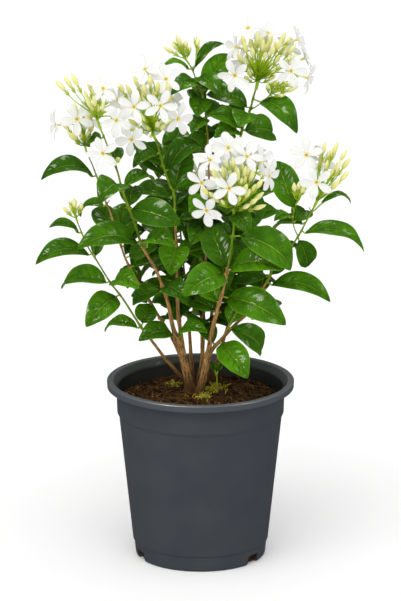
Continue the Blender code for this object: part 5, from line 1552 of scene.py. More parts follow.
@finish("cream bud", "jasmine_flower", Subsurface_Weight=0.2, Subsurface_Scale=4 * MM,
        Subsurface_Radius=(1.0, 0.9, 0.4), Coat_Weight=0.1, Coat_Roughness=0.3)
def bud_finish(tree, chosen):
    streaks, _ = shoot_streaks(tree, Scale=1.6, Stretch=0.25)
    soft = cloud(tree, place_of(tree), 260.0, 3.0)
    base = mixed(tree, eased(tree, streaks, 0.42, 0.68), chosen.bud, BUD_STREAK)
    base = mixed(tree, mark(tree, "warm"), base, BUD_WARM)
    base = mixed(tree, mark(tree, "leafy"), base, BUD_GREEN)
    return {"Base_Color": base, "Roughness": eased(tree, soft, 0.2, 0.8, 0.36, 0.52),
            "Normal": bumped(tree, streaks, 0.4 * MM, 0.5)}


@finish("paper floor", "jasmine_stage", Specular_IOR_Level=0.1, Emission_Strength=0.07)
def floor_finish(tree, chosen):
    fine = cloud(tree, place_of(tree), 300.0)
    return {"Base_Color": mixed(tree, times(tree, fine, 0.02), chosen.paper, PAPER_FLECK),
            "Roughness": eased(tree, fine, 0.2, 0.8, 0.7, 0.8)}


def add(primitive, **options):
    """Adds a primitive with nothing else selected, and gives it back."""
    bpy.ops.object.select_all(action="DESELECT")
    primitive(**options)
    return bpy.context.active_object


def in_edit_mode(*steps):
    """Runs edit-mode steps on all of the active piece."""
    bpy.ops.object.mode_set(mode="EDIT")
    bpy.ops.mesh.select_all(action="SELECT")
    for step in steps:
        step()
    bpy.ops.object.mode_set(mode="OBJECT")


def apply_place():
    bpy.ops.object.transform_apply(location=True, rotation=True, scale=True)


def blank(columns, rows, wall, materials):
    """A flat sheet one by one, x across and y along, as thick as its wall, to be shaped."""
    made = add(bpy.ops.mesh.primitive_grid_add, x_subdivisions=columns, y_subdivisions=rows,
               size=1.0, location=(0.5, 0.5, 0.0))
    apply_place()
    if wall:
        in_edit_mode(lambda: bpy.ops.mesh.extrude_region_move(
            TRANSFORM_OT_translate={"value": (0, 0, -wall)}),
            lambda: bpy.ops.mesh.select_all(action="SELECT"),
            lambda: bpy.ops.mesh.normals_make_consistent(inside=False))
    for material in materials:
        made.data.materials.append(material)
    for face in made.data.polygons:
        face.material_index = len(materials) - 1 if face.normal.z < -0.5 else 0
    return made


def shaped(model, place, **marks):
    """A copy of a model with its own mesh. place moves each corner, and each mark is an
    attribute: one number for the whole copy, or a function of the corner before it moves."""
    made = model.copy()
    made.data = model.data.copy()
    bpy.context.scene.collection.objects.link(made)
    corners = [vertex.co.copy() for vertex in made.data.vertices]
    for name, value in marks.items():
        values = [value(corner) if callable(value) else value for corner in corners]
        layer = made.data.attributes.get(name)
        layer = layer or made.data.attributes.new(name, "FLOAT", "POINT")
        layer.data.foreach_set("value", values)
    for vertex, corner in zip(made.data.vertices, corners):
        vertex.co = place(corner)
    return made


def drop(*models):
    for model in models:
        mesh = model.data
        bpy.data.objects.remove(model)
        bpy.data.meshes.remove(mesh)


def joined(copies):
    """Joins copies to one object, the first of them."""
    bpy.ops.object.select_all(action="DESELECT")
    for copy in copies:
        copy.select_set(True)
    bpy.context.view_layer.objects.active = copies[0]
    bpy.ops.object.join()
    return bpy.context.active_object


def gather(name, slot, copies, nodes=(), angle=50.0):
    made = joined(copies)
    made.name = name
    made.data.name = name
    in_edit_mode(lambda: bpy.ops.mesh.remove_doubles(threshold=SEAM))
    bpy.ops.object.shade_smooth_by_angle(angle=math.radians(angle))
    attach(made, "root")
    if nodes:
        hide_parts(*nodes)
    return made


def line_frames(line):
    """A sideways direction and the run at each point of a line, turned as little as can be."""
    frames = []
    side = None
    for i, point in enumerate(line):
        run = run_at(line, i)
        side = run.orthogonal() if side is None else side - run * side.dot(run)
        side.normalize()
        frames.append((point, side.copy(), run))
    return frames


def along_line(line, radii, ripple=None):
    """A place function that wraps a blank round a line, closed to a point at both ends."""
    frames = line_frames(line)
    rows = len(line) + 1

    def place(corner):
        row = round(corner.y * rows)
        if row in (0, rows):
            return frames[0 if row == 0 else -1][0]
        point, side, run = frames[row - 1]
        turn = math.tau * corner.x
        radius = radii[row - 1] * (1 + (ripple(turn, row - 1) if ripple else 0))
        return point + (side * math.cos(turn) + run.cross(side) * math.sin(turn)) * radius
    return place


def bent_line(start, start_run, end, end_run, count):
    """Points on a curve from start to end that leaves and arrives in the given directions."""
    reach = (end - start).length * BEND_REACH
    p1, p2 = start + start_run * reach, end - end_run * reach
    points = []
    for i in range(count):
        t = i / (count - 1)
        s = 1 - t
        points.append(start * s ** 3 + p1 * 3 * s * s * t + p2 * 3 * s * t * t + end * t ** 3)
    return points


def rounded_pot_profile():
    """The pot's profile from its inner floor over the rim to its base, with a beaded lip."""
    shelf = POT_HEIGHT - POT_SKIRT_HEIGHT
    collar_low = POT_COLLAR_HEIGHT - POT_STEP * 2
    foot = POT_FOOT_TOP_RADIUS - POT_FOOT_STEP
    return [
        (pot_inner_radius(POT_FLOOR), POT_FLOOR),
        (pot_inner_radius(POT_FOOT_HEIGHT), POT_FOOT_HEIGHT),
        (pot_inner_radius(POT_COLLAR_HEIGHT), POT_COLLAR_HEIGHT),
        (POT_COLLAR_TOP_RADIUS - POT_WALL, shelf),
        (POT_LIP_RADIUS, POT_HEIGHT - POT_EDGE),
        (POT_LIP_RADIUS + POT_EDGE, POT_HEIGHT),
        (POT_LIP_RADIUS + POT_EDGE * 2, POT_HEIGHT - POT_EDGE / 2),
        (POT_RIM_RADIUS - POT_EDGE * 2, POT_HEIGHT - POT_EDGE / 2),
        (POT_RIM_RADIUS - POT_EDGE, POT_HEIGHT),
        (POT_RIM_RADIUS, POT_HEIGHT - POT_EDGE),
        (POT_RIM_RADIUS - POT_EDGE / 2, shelf),
        (POT_RIM_RADIUS - POT_WALL, shelf),
        (POT_RIM_RADIUS - POT_WALL, shelf + POT_WALL),
        (POT_COLLAR_TOP_RADIUS, shelf + POT_WALL),
        (POT_COLLAR_RADIUS, POT_COLLAR_HEIGHT),
        (pot_outer_radius(collar_low), collar_low),
        (POT_FOOT_TOP_RADIUS, POT_FOOT_HEIGHT + POT_EDGE),
        (foot, POT_FOOT_HEIGHT),
        (POT_BASE_RADIUS + POT_EDGE * 2, POT_BASE_EDGE),
        (POT_BASE_RADIUS, 0),
    ]


class OBJECT_OT_jasmine_pot(bpy.types.Operator):
    """Model the pot as a ring extruded along its profile, then cut its notches"""
    bl_idname = "object.jasmine_pot"
    bl_label = "Pot"

    def execute(self, context):
        profile = rounded_pot_profile()
        pot = add(bpy.ops.mesh.primitive_circle_add, vertices=POT_RING, radius=profile[0][0],
                  location=(0, 0, profile[0][1]), fill_type="NOTHING")
        apply_place()
        bpy.ops.object.mode_set(mode="EDIT")
        bpy.ops.mesh.select_all(action="SELECT")
        for before, after in zip(profile, profile[1:]):
            bpy.ops.mesh.extrude_edges_move(
                TRANSFORM_OT_translate={"value": (0, 0, after[1] - before[1])})
            scale = after[0] / before[0]
            bpy.ops.transform.resize(value=(scale, scale, 1), center_override=(0, 0, after[1]))
        bpy.ops.mesh.select_all(action="SELECT")
        bpy.ops.mesh.fill_holes(sides=0)
        bpy.ops.mesh.select_all(action="SELECT")
        bpy.ops.mesh.normals_make_consistent(inside=False)
        bpy.ops.object.mode_set(mode="OBJECT")
        rounding = pot.modifiers.new("Rounded edges", "BEVEL")
        rounding.width = context.scene.jasmine_pot.edge
        rounding.segments = 3
        rounding.limit_method = "ANGLE"
        rounding.angle_limit = math.radians(16)
        bpy.ops.object.modifier_apply(modifier=rounding.name)
        for azimuth in NOTCH_AZIMUTHS:
            self.cut_notch(pot, math.radians(azimuth - 90))
        pot.data.materials.append(pot_finish())
        gather("pot_shell", "pot_plastic", [pot], ["pot"], angle=30.0)
        return {"FINISHED"}

    def cut_notch(self, pot, angle):
        """Cuts one drainage notch through the foot with a bevelled box."""
        reach = POT_BASE_RADIUS + NOTCH_OVERCUT - NOTCH_DEPTH / 2
        box = add(bpy.ops.mesh.primitive_cube_add, size=1.0, rotation=(0, 0, angle),
                  location=polar(reach, angle, (NOTCH_HEIGHT - NOTCH_OVERCUT) / 2),
                  scale=(NOTCH_DEPTH + NOTCH_OVERCUT * 2, NOTCH_WIDTH,
                         NOTCH_HEIGHT + NOTCH_OVERCUT))
        apply_place()
        in_edit_mode(lambda: bpy.ops.mesh.bevel(offset=POT_EDGE * 2, segments=4))
        removal = pot.modifiers.new("Notch", "BOOLEAN")
        removal.object = box
        removal.solver = "EXACT"
        bpy.ops.object.select_all(action="DESELECT")
        bpy.context.view_layer.objects.active = pot
        pot.select_set(True)
        bpy.ops.object.modifier_apply(modifier=removal.name)
        drop(box)


def soil_top(radius, angle):
    """The soil's top with its lumps and crumbs, as a height."""
    crumbs = 0
    for size, depth in CRUMB_LAYERS:
        crumbs += noise.noise(polar(radius, angle) / size) * depth
    inner = pot_inner_radius(SOIL_LEVEL) - SEAT
    return soil_height(radius, angle) + crumbs * clamped((inner - radius) / CRUMB_EDGE)


def soil_at(x, y):
    return soil_top(math.hypot(x, y), math.atan2(y, x))


def on_soil(u, v):
    """The place on the soil's top that is seen at a pixel."""
    depth = 0.0
    for _ in range(SEARCH_STEPS):
        place = spot(u, v, depth)
        depth += (place.z - soil_at(place.x, place.y)) / math.tan(VIEW_TILT) / MM
    return place


class OBJECT_OT_jasmine_soil(bpy.types.Operator):
    """Model the soil with its crumbled top, loose crumbs and bark fibres"""
    bl_idname = "object.jasmine_soil"
    bl_label = "Soil"

    def execute(self, context):
        chosen = context.scene.jasmine_soil
        body = self.turned_body()
        draw = random.Random("crumbs")
        stone = add(bpy.ops.mesh.primitive_ico_sphere_add, subdivisions=1, radius=0.5)
        stone.data.materials.append(soil_finish())
        lump = add(bpy.ops.mesh.primitive_ico_sphere_add, subdivisions=2, radius=0.5)
        lump.data.materials.append(soil_finish())
        copies = [body]
        for number in range(chosen.crumbs):
            size = chosen.crumb * (0.45 + 1.1 * draw.random() ** 2.2)
            copies.append(self.crumb(lump if size > chosen.crumb else stone, size, draw))
        drop(stone, lump)
        gather("soil_body", "soil", copies, ["soil"], angle=60.0)
        strand = blank(4, 7, 0, [soil_finish()])
        fibres = [self.fibre(strand, draw) for _ in range(chosen.fibres)]
        drop(strand)
        gather("soil_fibres", "soil", fibres)
        return {"FINISHED"}

    def turned_body(self):
        """The soil's body: its floor, its wall and many rings of crumbled top."""
        floor = POT_FLOOR + SEAT
        heights = (floor, POT_FOOT_HEIGHT, POT_COLLAR_HEIGHT)
        outer = [(0, floor)] + [(pot_inner_radius(z) - SEAT, z) for z in heights]
        rim = pot_inner_radius(SOIL_LEVEL) - SEAT
        rows = len(outer) + SOIL_TOP_RINGS
        sheet = blank(SOIL_RING, rows, 0, [soil_finish()])

        def place(corner):
            row = round(corner.y * rows)
            turn = math.tau * corner.x
            if row < len(outer):
                radius, height = outer[row]
            else:
                radius = rim * (1 - (row - len(outer)) / SOIL_TOP_RINGS)
                height = soil_top(radius, turn)
            return polar(radius, turn, height)
        body = shaped(sheet, place, tone=0.0)
        drop(sheet)
        return body

    def crumb(self, model, size, draw):
        """One crumb, squashed and turned, half sunk in the soil's top."""
        turn = draw.uniform(0, math.tau)
        radius = CRUMB_REACH * math.sqrt(draw.random())
        centre = polar(radius, turn, soil_top(radius, turn) + size * CRUMB_SINK)
        squash = Matrix.Diagonal((1, draw.uniform(0.5, 1), draw.uniform(0.4, 0.8)))
        spin = Matrix.Rotation(draw.uniform(0, math.tau), 3, Vector(
            (draw.uniform(-0.5, 0.5), draw.uniform(-0.5, 0.5), 1)))
        seed = Vector((draw.random(), draw.random(), draw.random())) * 50

        def place(corner):
            rough = 1 + 0.5 * noise.noise(corner * 2.5 + seed)
            return centre + spin @ squash @ (corner * rough) * size
        return shaped(model, place, tone=draw.random() ** 3)

    def fibre(self, model, draw):
        """One bark fibre, bent and lying on the soil's top."""
        turn = draw.uniform(0, math.tau)
        radius = FIBRE_REACH * math.sqrt(draw.random())
        heading = draw.uniform(0, math.tau)
        reach = draw.uniform(*FIBRE_LENGTH) * MM
        bend = draw.uniform(-0.9, 0.9)
        lift = draw.uniform(*FIBRE_LIFT) * MM
        points = []
        last = FIBRE_POINTS - 1
        for i in range(FIBRE_POINTS):
            step = (i / last - 0.5) * reach
            angle = heading + bend * i / last
            x = radius * math.cos(turn) + step * math.cos(angle)
            y = radius * math.sin(turn) + step * math.sin(angle)
            off = min(math.hypot(x, y), CRUMB_REACH) / max(math.hypot(x, y), MM)
            x, y = x * off, y * off
            rise = lift * math.sin(math.pi * i / last) + 0.3 * MM
            points.append(Vector((x, y, soil_at(x, y) + rise)))
        thick = draw.uniform(*FIBRE_RADIUS) * MM
        radii = [thick * 0.5] + [thick] * (FIBRE_POINTS - 2) + [thick * 0.5]
        return shaped(model, along_line(points, radii), tone=draw.uniform(0.35, 1.0))


class OBJECT_OT_jasmine_litter(bpy.types.Operator):
    """Model the moss tufts, the pale surface roots and the coir behind the notches"""
    bl_idname = "object.jasmine_litter"
    bl_label = "Moss, roots and coir"

    def execute(self, context):
        draw = random.Random("moss")
        strand = blank(4, 5, 0, [moss_finish()])
        blades = []
        for (u, v), spread, count in MOSS_TUFTS:
            for _ in range(count):
                foot = on_soil(u + draw.gauss(0, spread), v + draw.gauss(0, spread * 0.35))
                lean = Vector((draw.gauss(0, 1.2), draw.gauss(0, 1.2), 1)).normalized()
                tip = foot + lean * draw.uniform(*MOSS_HEIGHT) * MM
                points = bent_line(foot - lean * MM, Vector((0, 0, 1)), tip, lean, 4)
                blades.append(shaped(strand, along_line(points, MOSS_RADII), tone=draw.random()))
        drop(strand)
        gather("moss", "leaf", blades)
        root = blank(6, ROOT_POINTS + 1, 0, [bark_finish()])
        roots = []
        last = ROOT_POINTS - 1
        for start, end, lift in SURFACE_ROOTS:
            a, b = on_soil(*start), on_soil(*end)
            points = []
            for i in range(ROOT_POINTS):
                t = i / last
                x = a.x + (b.x - a.x) * t + ROOT_SWAY * math.sin(t * 9 + lift)
                y = a.y + (b.y - a.y) * t
                rise = lift * MM * math.sin(math.pi * t)
                points.append(Vector((x, y, soil_at(x, y) + rise)))
            radii = [ROOT_RADIUS * (1 - 0.6 * i / last) for i in range(ROOT_POINTS)]
            roots.append(shaped(root, along_line(points, radii), age=0.9,
                                along=lambda corner: corner.y * 2))
        drop(root)
        gather("surface_roots", "bark", roots)
        self.add_coir()
        return {"FINISHED"}

    def add_coir(self):
        """Short curled fibres of coir that show in each notch."""
        draw = random.Random("coir")
        strand = blank(4, 6, 0, [soil_finish()])
        fibres = []
        for azimuth in NOTCH_AZIMUTHS:
            out = polar(1, math.radians(azimuth - 90))
            side = Vector((-out.y, out.x, 0))
            for _ in range(COIR_COUNT):
                middle = (out * (POT_BASE_RADIUS - COIR_BACK) + side * draw.gauss(0, COIR_SPREAD)
                          + Vector((0, 0, draw.uniform(1.0, 5.0) * MM)))
                off = middle.dot(side)
                middle -= side * max(abs(off) - COIR_HALF_WIDTH, 0) * math.copysign(1, off)
                way = Vector((draw.gauss(0, 1), draw.gauss(0, 1), draw.gauss(0, 0.6))).normalized()
                reach = draw.uniform(*COIR_HALF_LENGTH) * MM
                start, end = middle - way * reach, middle + way * reach
                start.z, end.z = max(start.z, COIR_LOWEST), max(end.z, COIR_LOWEST)
                points = bent_line(start, out, end, -out, 5)
                fibres.append(shaped(strand, along_line(points, [COIR_RADIUS] * 5),
                                     tone=draw.uniform(0.6, 1.0)))
        drop(strand)
        gather("notch_coir", "soil", fibres)


def shoot_line(route, radii):
    """A branch's fine line, each point with its radius as w, ended with a rounded tip."""
    rough = [Vector((*point, radius)) for point, radius in zip(route, radii)]
    line = smooth_route(rough, BARK_STEP)
    tip, radius = line[-1].xyz, line[-1].w
    run = (line[-1].xyz - line[-2].xyz).normalized()
    return line + [Vector((*(tip + run * radius * reach), radius * width))
                   for reach, width in SHOOT_TIP]


def wood_age(stem, branch, t):
    """How woody a branch is at a share of its length: 1 is old bark and 0 a green shoot."""
    full, green = SHOOT_AGES.get((stem, branch), (0.35, 0.7))
    return 1 - clamped((t - full) / (green - full))


class OBJECT_OT_jasmine_bark(bpy.types.Operator):
    """Model each stem's trunk and branches with their folds, nodes and stubs"""
    bl_idname = "object.jasmine_bark"
    bl_label = "Trunks and shoots"

    def execute(self, context):
        fissure = context.scene.jasmine_wood.fissure
        for stem, parts in STEMS.items():
            copies = []
            for number, branch in enumerate(parts):
                copies += self.branch(stem, branch, number, fissure)
            gather(f"bark_{stem}", "bark", copies)
        return {"FINISHED"}

    def branch(self, stem, branch, number, fissure):
        """A branch's tube, swollen at its nodes, with the stubs of fallen shoots."""
        route, radii = growth()["branches"][stem, branch]
        line = shoot_line(route, radii)
        points = [point.xyz for point in line]
        nodes = [leaf["root"] for leaf in growth()["leaves"][stem]
                 if min((leaf["root"] - point).length for point in points) < 2 * MM]
        reach = [0.0]
        for start, end in zip(points, points[1:]):
            reach.append(reach[-1] + (end - start).length)
        ages = [wood_age(stem, branch, at / reach[-1]) for at in reach]
        widths = []
        for point, at in zip(line, reach):
            swell = sum(NODE_SWELL * math.exp(-((point.xyz - node).length / NODE_REACH) ** 2)
                        for node in nodes)
            slim = clamped((point.z - SLIM_FROM) / SLIM_OVER) * SHOOT_SLIMMING
            if number:
                foot = FORK_SWELL * math.exp(-at / FORK_REACH)
            else:
                over = max(point.z - SOIL_LEVEL - SOIL_MOUND, 0)
                foot = GROUND_SWELL * math.exp(-over / GROUND_REACH)
            widths.append(point.w * (1 - slim + min(swell, NODE_MOST) + foot))
        seed = Vector((number * 7.0, len(stem) * 3.0, 0))

        def ripple(turn, row):
            around = polar(1, turn) * 2.3
            around.z = reach[row] / (11 * MM)
            knots = noise.noise(Vector((around.x, around.y, reach[row] / (4 * MM))) * 0.6 + seed)
            return ages[row] * (fissure * noise.noise(around + seed) + 0.10 * knots)
        rows = len(line) + 1
        sheet = blank(BARK_SIDES, rows, 0, [bark_finish()])

        def at_row(values):
            return lambda corner: values[min(max(round(corner.y * rows) - 1, 0), len(line) - 1)]
        tube = shaped(sheet, along_line(points, widths, ripple), age=at_row(ages),
                      along=at_row([at / (10 * MM) for at in reach]))
        drop(sheet)
        return [tube] + self.stubs(stem, branch, nodes, points, widths, ages)

    def stubs(self, stem, branch, nodes, points, widths, ages):
        """Short stubs at some nodes, each on a side drawn at random."""
        draw = random.Random(stem + branch)
        peg = blank(6, 5, 0, [bark_finish()])
        made = []
        for node in nodes:
            away = Vector((draw.gauss(0, 1), draw.gauss(0, 1), 0.6))
            if draw.random() > STUB_SHARE:
                continue
            row = min(range(len(points)), key=lambda i: (points[i] - node).length)
            run = run_at(points, row)
            side = (away - run * away.dot(run)).normalized()
            out = (side + run * 0.7).normalized()
            start = points[row] + side * widths[row] * 0.5
            end = start + out * (widths[row] + draw.uniform(*STUB_LENGTH) * MM)
            stub = bent_line(start, out, end, (out + run).normalized(), 4)
            thick = min(widths[row] * 0.55, STUB_RADIUS)
            made.append(shaped(peg, along_line(stub, [thick, thick, thick * 0.8, thick * 0.5]),
                               age=ages[row] * draw.uniform(0.3, 1), along=draw.uniform(0, 9)))
        drop(peg)
        return made


def vein_swell(across, t):
    """How far a blade swells between its side veins, as a share, at a point of the blade."""
    level = (t - VEIN_BEND * abs(across) ** 1.5) * VEIN_PAIRS
    near = abs((level % 1.0) - 0.5) * 2
    window = math.sin(math.pi * min(abs(across), 1.0) ** 0.8) * min(1.0, (1 - t) * 5)
    return (1 - near ** 3) * max(window, 0.0)


def leaf_place(leaf, wave, quilt):
    """A place function that lays a blank along a leaf, folded, quilted and gently waved."""
    rows = {}

    def place(corner):
        t = clamped(corner.y)
        if t not in rows:
            half = blade_half_width(leaf, t)
            pinch = clamped((t - BLADE_PINCH_FROM) / (1 - BLADE_PINCH_FROM))
            rows[t] = (*blade_frame(leaf, t), half * (1 - BLADE_TIP_PINCH * pinch * (1 - t) * 4))
        point, up, side, half = rows[t]
        across = corner.x * 2 - 1
        spread = math.copysign(abs(across) ** 1.15, across)
        bowl = (1 + BLADE_ROUNDING) * abs(spread) - BLADE_ROUNDING * spread * spread
        rise = half * math.sin(BLADE_FOLD) * bowl + quilt * vein_swell(spread, t)
        sway = math.sin(math.tau * (wave[0] * t + wave[1]) + (0.9 if across > 0 else 0))
        rise += BLADE_WAVE * wave[2] * sway * abs(spread) ** 3 * min(1.0, half / (6 * MM))
        return point + side * spread * half * math.cos(BLADE_FOLD) + up * (rise + corner.z)
    return place


def rib_line(leaf, count):
    """The line of a leaf's stalk and midrib, from its branch to near its tip."""
    base, ahead = blade_frame(leaf, 0.0)[0], blade_frame(leaf, 0.06)[0]
    leave = (leaf["chord"] + leaf["normal"] * 0.5).normalized()
    line = bent_line(leaf["root"], leave, base, (ahead - base).normalized(), 6)[:-1]
    for i in range(count - 5):
        t = 0.97 * (i / (count - 6)) ** 1.1
        point, up, _ = blade_frame(leaf, t)
        line.append(point - up * (BLADE_WALL + RIB_RADIUS * (1 - t) * 0.35))
    return line


class OBJECT_OT_jasmine_leaves(bpy.types.Operator):
    """Model one blade and one stalk, and lay a copy of them for each leaf of each stem"""
    bl_idname = "object.jasmine_leaves"
    bl_label = "Leaves"

    def execute(self, context):
        blade = blank(*BLADE_GRID, BLADE_WALL, [leaf_finish(), underside_finish()])
        plain = blank(*SHADE_GRID, BLADE_WALL, [leaf_finish(), underside_finish()])
        rib = blank(*RIB_GRID, 0, [stalk_finish()])
        for stem, leaves in growth()["leaves"].items():
            copies = lay_leaves(leaves, blade, rib, random.Random(stem), LEAF_TONES)
            # The leaves deep in the crown take darker tones: painted shade.
            copies += lay_leaves(growth()["shade"][stem], plain, rib,
                                 random.Random("shade " + stem), PAINTED_SHADE_TONES)
            gather(f"leaves_{stem}", "leaf", copies, [stem], angle=65.0)
        drop(blade, plain, rib)
        return {"FINISHED"}


def lay_leaves(leaves, blade, rib, draw, tones):
    """Blades and ribs for a list of leaves, each with its own wave and tone."""
    quilt = bpy.context.scene.jasmine_leaf.quilt
    count = RIB_GRID[1] - 1
    copies = []
    for leaf in leaves:
        wave = (draw.uniform(1.2, 2.4), draw.random(), draw.uniform(0.2, 1.0))
        tone = clamped(draw.gauss(*tones))
        copies.append(shaped(blade, leaf_place(leaf, wave, quilt), tone=tone))
        line = rib_line(leaf, count)
        radii = [RIB_RADIUS + (RIB_TIP_RADIUS - RIB_RADIUS) * max(i - 4, 0) / (count - 5)
                 for i in range(count)]
        radii[0] *= 1.35
        copies.append(shaped(rib, along_line(line, radii), tone=0.35 + tone * 0.5,
                             along=lambda corner: corner.y * 5))
    return copies


class OBJECT_OT_jasmine_seedling(bpy.types.Operator):
    """Model the small sprout beside the stems"""
    bl_idname = "object.jasmine_seedling"
    bl_label = "Seedling"

    def execute(self, context):
        sprout = [spot(*pixel) for pixel in SEEDLING_STEM]
        sprout.insert(0, sprout[0] - Vector((0, 0, SPROUT_ROOT)))
        line = smooth_route(sprout, 1.5 * MM)
        stalk = blank(8, len(line) + 1, 0, [stalk_finish()])
        radii = [SPROUT_RADIUS * (1 - 0.35 * i / len(line)) for i in range(len(line))]
        copies = [shaped(stalk, along_line(line, radii), tone=0.9, along=lambda at: at.y * 3)]
        blade = blank(8, 16, BLADE_WALL, [leaf_finish(), underside_finish()])
        rib = blank(*RIB_GRID, 0, [stalk_finish()])
        leaves = [lay_leaf(sprout, row, (0, 0, 0, 0)) for row in SEEDLING_LEAVES]
        copies += lay_leaves(leaves, blade, rib, random.Random("seedling"), (1.0, 0.02))
        drop(stalk, blade, rib)
        gather("seedling_fine", "leaf", copies, ["seedling"], angle=65.0)
        return {"FINISHED"}


def petal_place(matrix, turn, tilt, cup, curl, broad):
    """A place function that lays a blank as one petal, broad and round, cupped and curled."""
    out = polar(1, turn)
    side = Vector((math.sin(turn), -math.cos(turn), 0))

    def place(corner):
        t = corner.y
        across = corner.x * 2 - 1
        if t < PETAL_WIDEST:
            ease = math.sin(t / PETAL_WIDEST * math.pi / 2) ** 1.25
            half = PETAL_FOOT + (PETAL_WIDTH / 2 - PETAL_FOOT) * ease
        else:
            ease = (t - PETAL_WIDEST) / (1 - PETAL_WIDEST)
            half = PETAL_WIDTH / 2 * max(1 - ease ** 1.9, 0) ** 0.66
        half *= broad
        reach = THROAT_RADIUS + (FLOWER_RADIUS * PETAL_REACH - THROAT_RADIUS) * t
        crease = PETAL_CREASE * math.exp(-(across / PETAL_CREASE_WIDTH) ** 2) * (1 - t)
        rise = LOBE_RISE * math.sin(t * math.pi / 2)
        rise -= curl * max(t - PETAL_CURL_FROM, 0) ** 2 * 4
        rise += cup * across * across * half / (PETAL_WIDTH / 2)
        rise += tilt * across * half - crease
        local = out * reach + side * across * half + Vector((0, 0, rise + corner.z))
        return matrix @ local
    return place


def tube_model(profile, sides, materials):
    """A turned model about the z axis, from a profile of (radius, height)."""
    rows = len(profile) + 1
    sheet = blank(sides, rows, 0, materials)

    def place(corner):
        row = round(corner.y * rows)
        radius, height = profile[min(max(row - 1, 0), len(profile) - 1)]
        return polar(0 if row in (0, rows) else radius, math.tau * corner.x, height)
    made = shaped(sheet, place)
    drop(sheet)
    return made


def bud_model():
    """A bud's closed corolla: a sphere drawn out to a spindle, its five lobes wound round."""
    made = add(bpy.ops.mesh.primitive_uv_sphere_add, segments=15, ring_count=12, radius=1.0)
    made.data.materials.append(bud_finish())
    for vertex in made.data.vertices:
        t = (vertex.co.z + 1) / 2
        turn = math.atan2(vertex.co.y, vertex.co.x)
        width = (math.sin(math.pi * t ** 0.85) * 0.92 + 0.08) if 0 < t < 1 else 0
        if t < BUD_NECK_SHARE:
            width = max(width, NECK_RADIUS / BUD_RADIUS * min(t * 30, 1))
        lobes = 1 + BUD_LOBE_DEPTH * math.cos(LOBES * (turn - BUD_TWIST * t))
        vertex.co = polar(BUD_RADIUS * max(width, 0) ** 0.8 * lobes, turn, t)
    return made


def calyx_model(tooth):
    """A calyx: a small cup with a ring of narrow teeth, standing on its own z axis."""
    cup = tube_model(CALYX_PROFILE, 7, [stalk_finish()])
    peg = blank(3, 4, 0, [stalk_finish()])
    parts = [cup]
    for k in range(CALYX_TEETH):
        out = polar(1, math.tau * k / CALYX_TEETH)
        foot = out * CALYX_RADIUS + Vector((0, 0, CALYX_LENGTH * 0.7))
        up = Vector((0, 0, 1))
        tip = foot + (up + out * 0.42).normalized() * tooth
        line = bent_line(foot, up, tip, (up + out * 0.6).normalized(), 3)
        parts.append(shaped(peg, along_line(line, CALYX_TOOTH_RADII)))
    drop(peg)
    return joined(parts)


def standing(point, run, spin, stretch=1.0):
    """The matrix that stands a model at a point, its z axis along the run."""
    turn = run.to_track_quat("Z", "Y").to_matrix().to_4x4()
    return (Matrix.Translation(point) @ turn @ Matrix.Rotation(spin, 4, "Z")
            @ Matrix.Diagonal((1, 1, stretch, 1)))


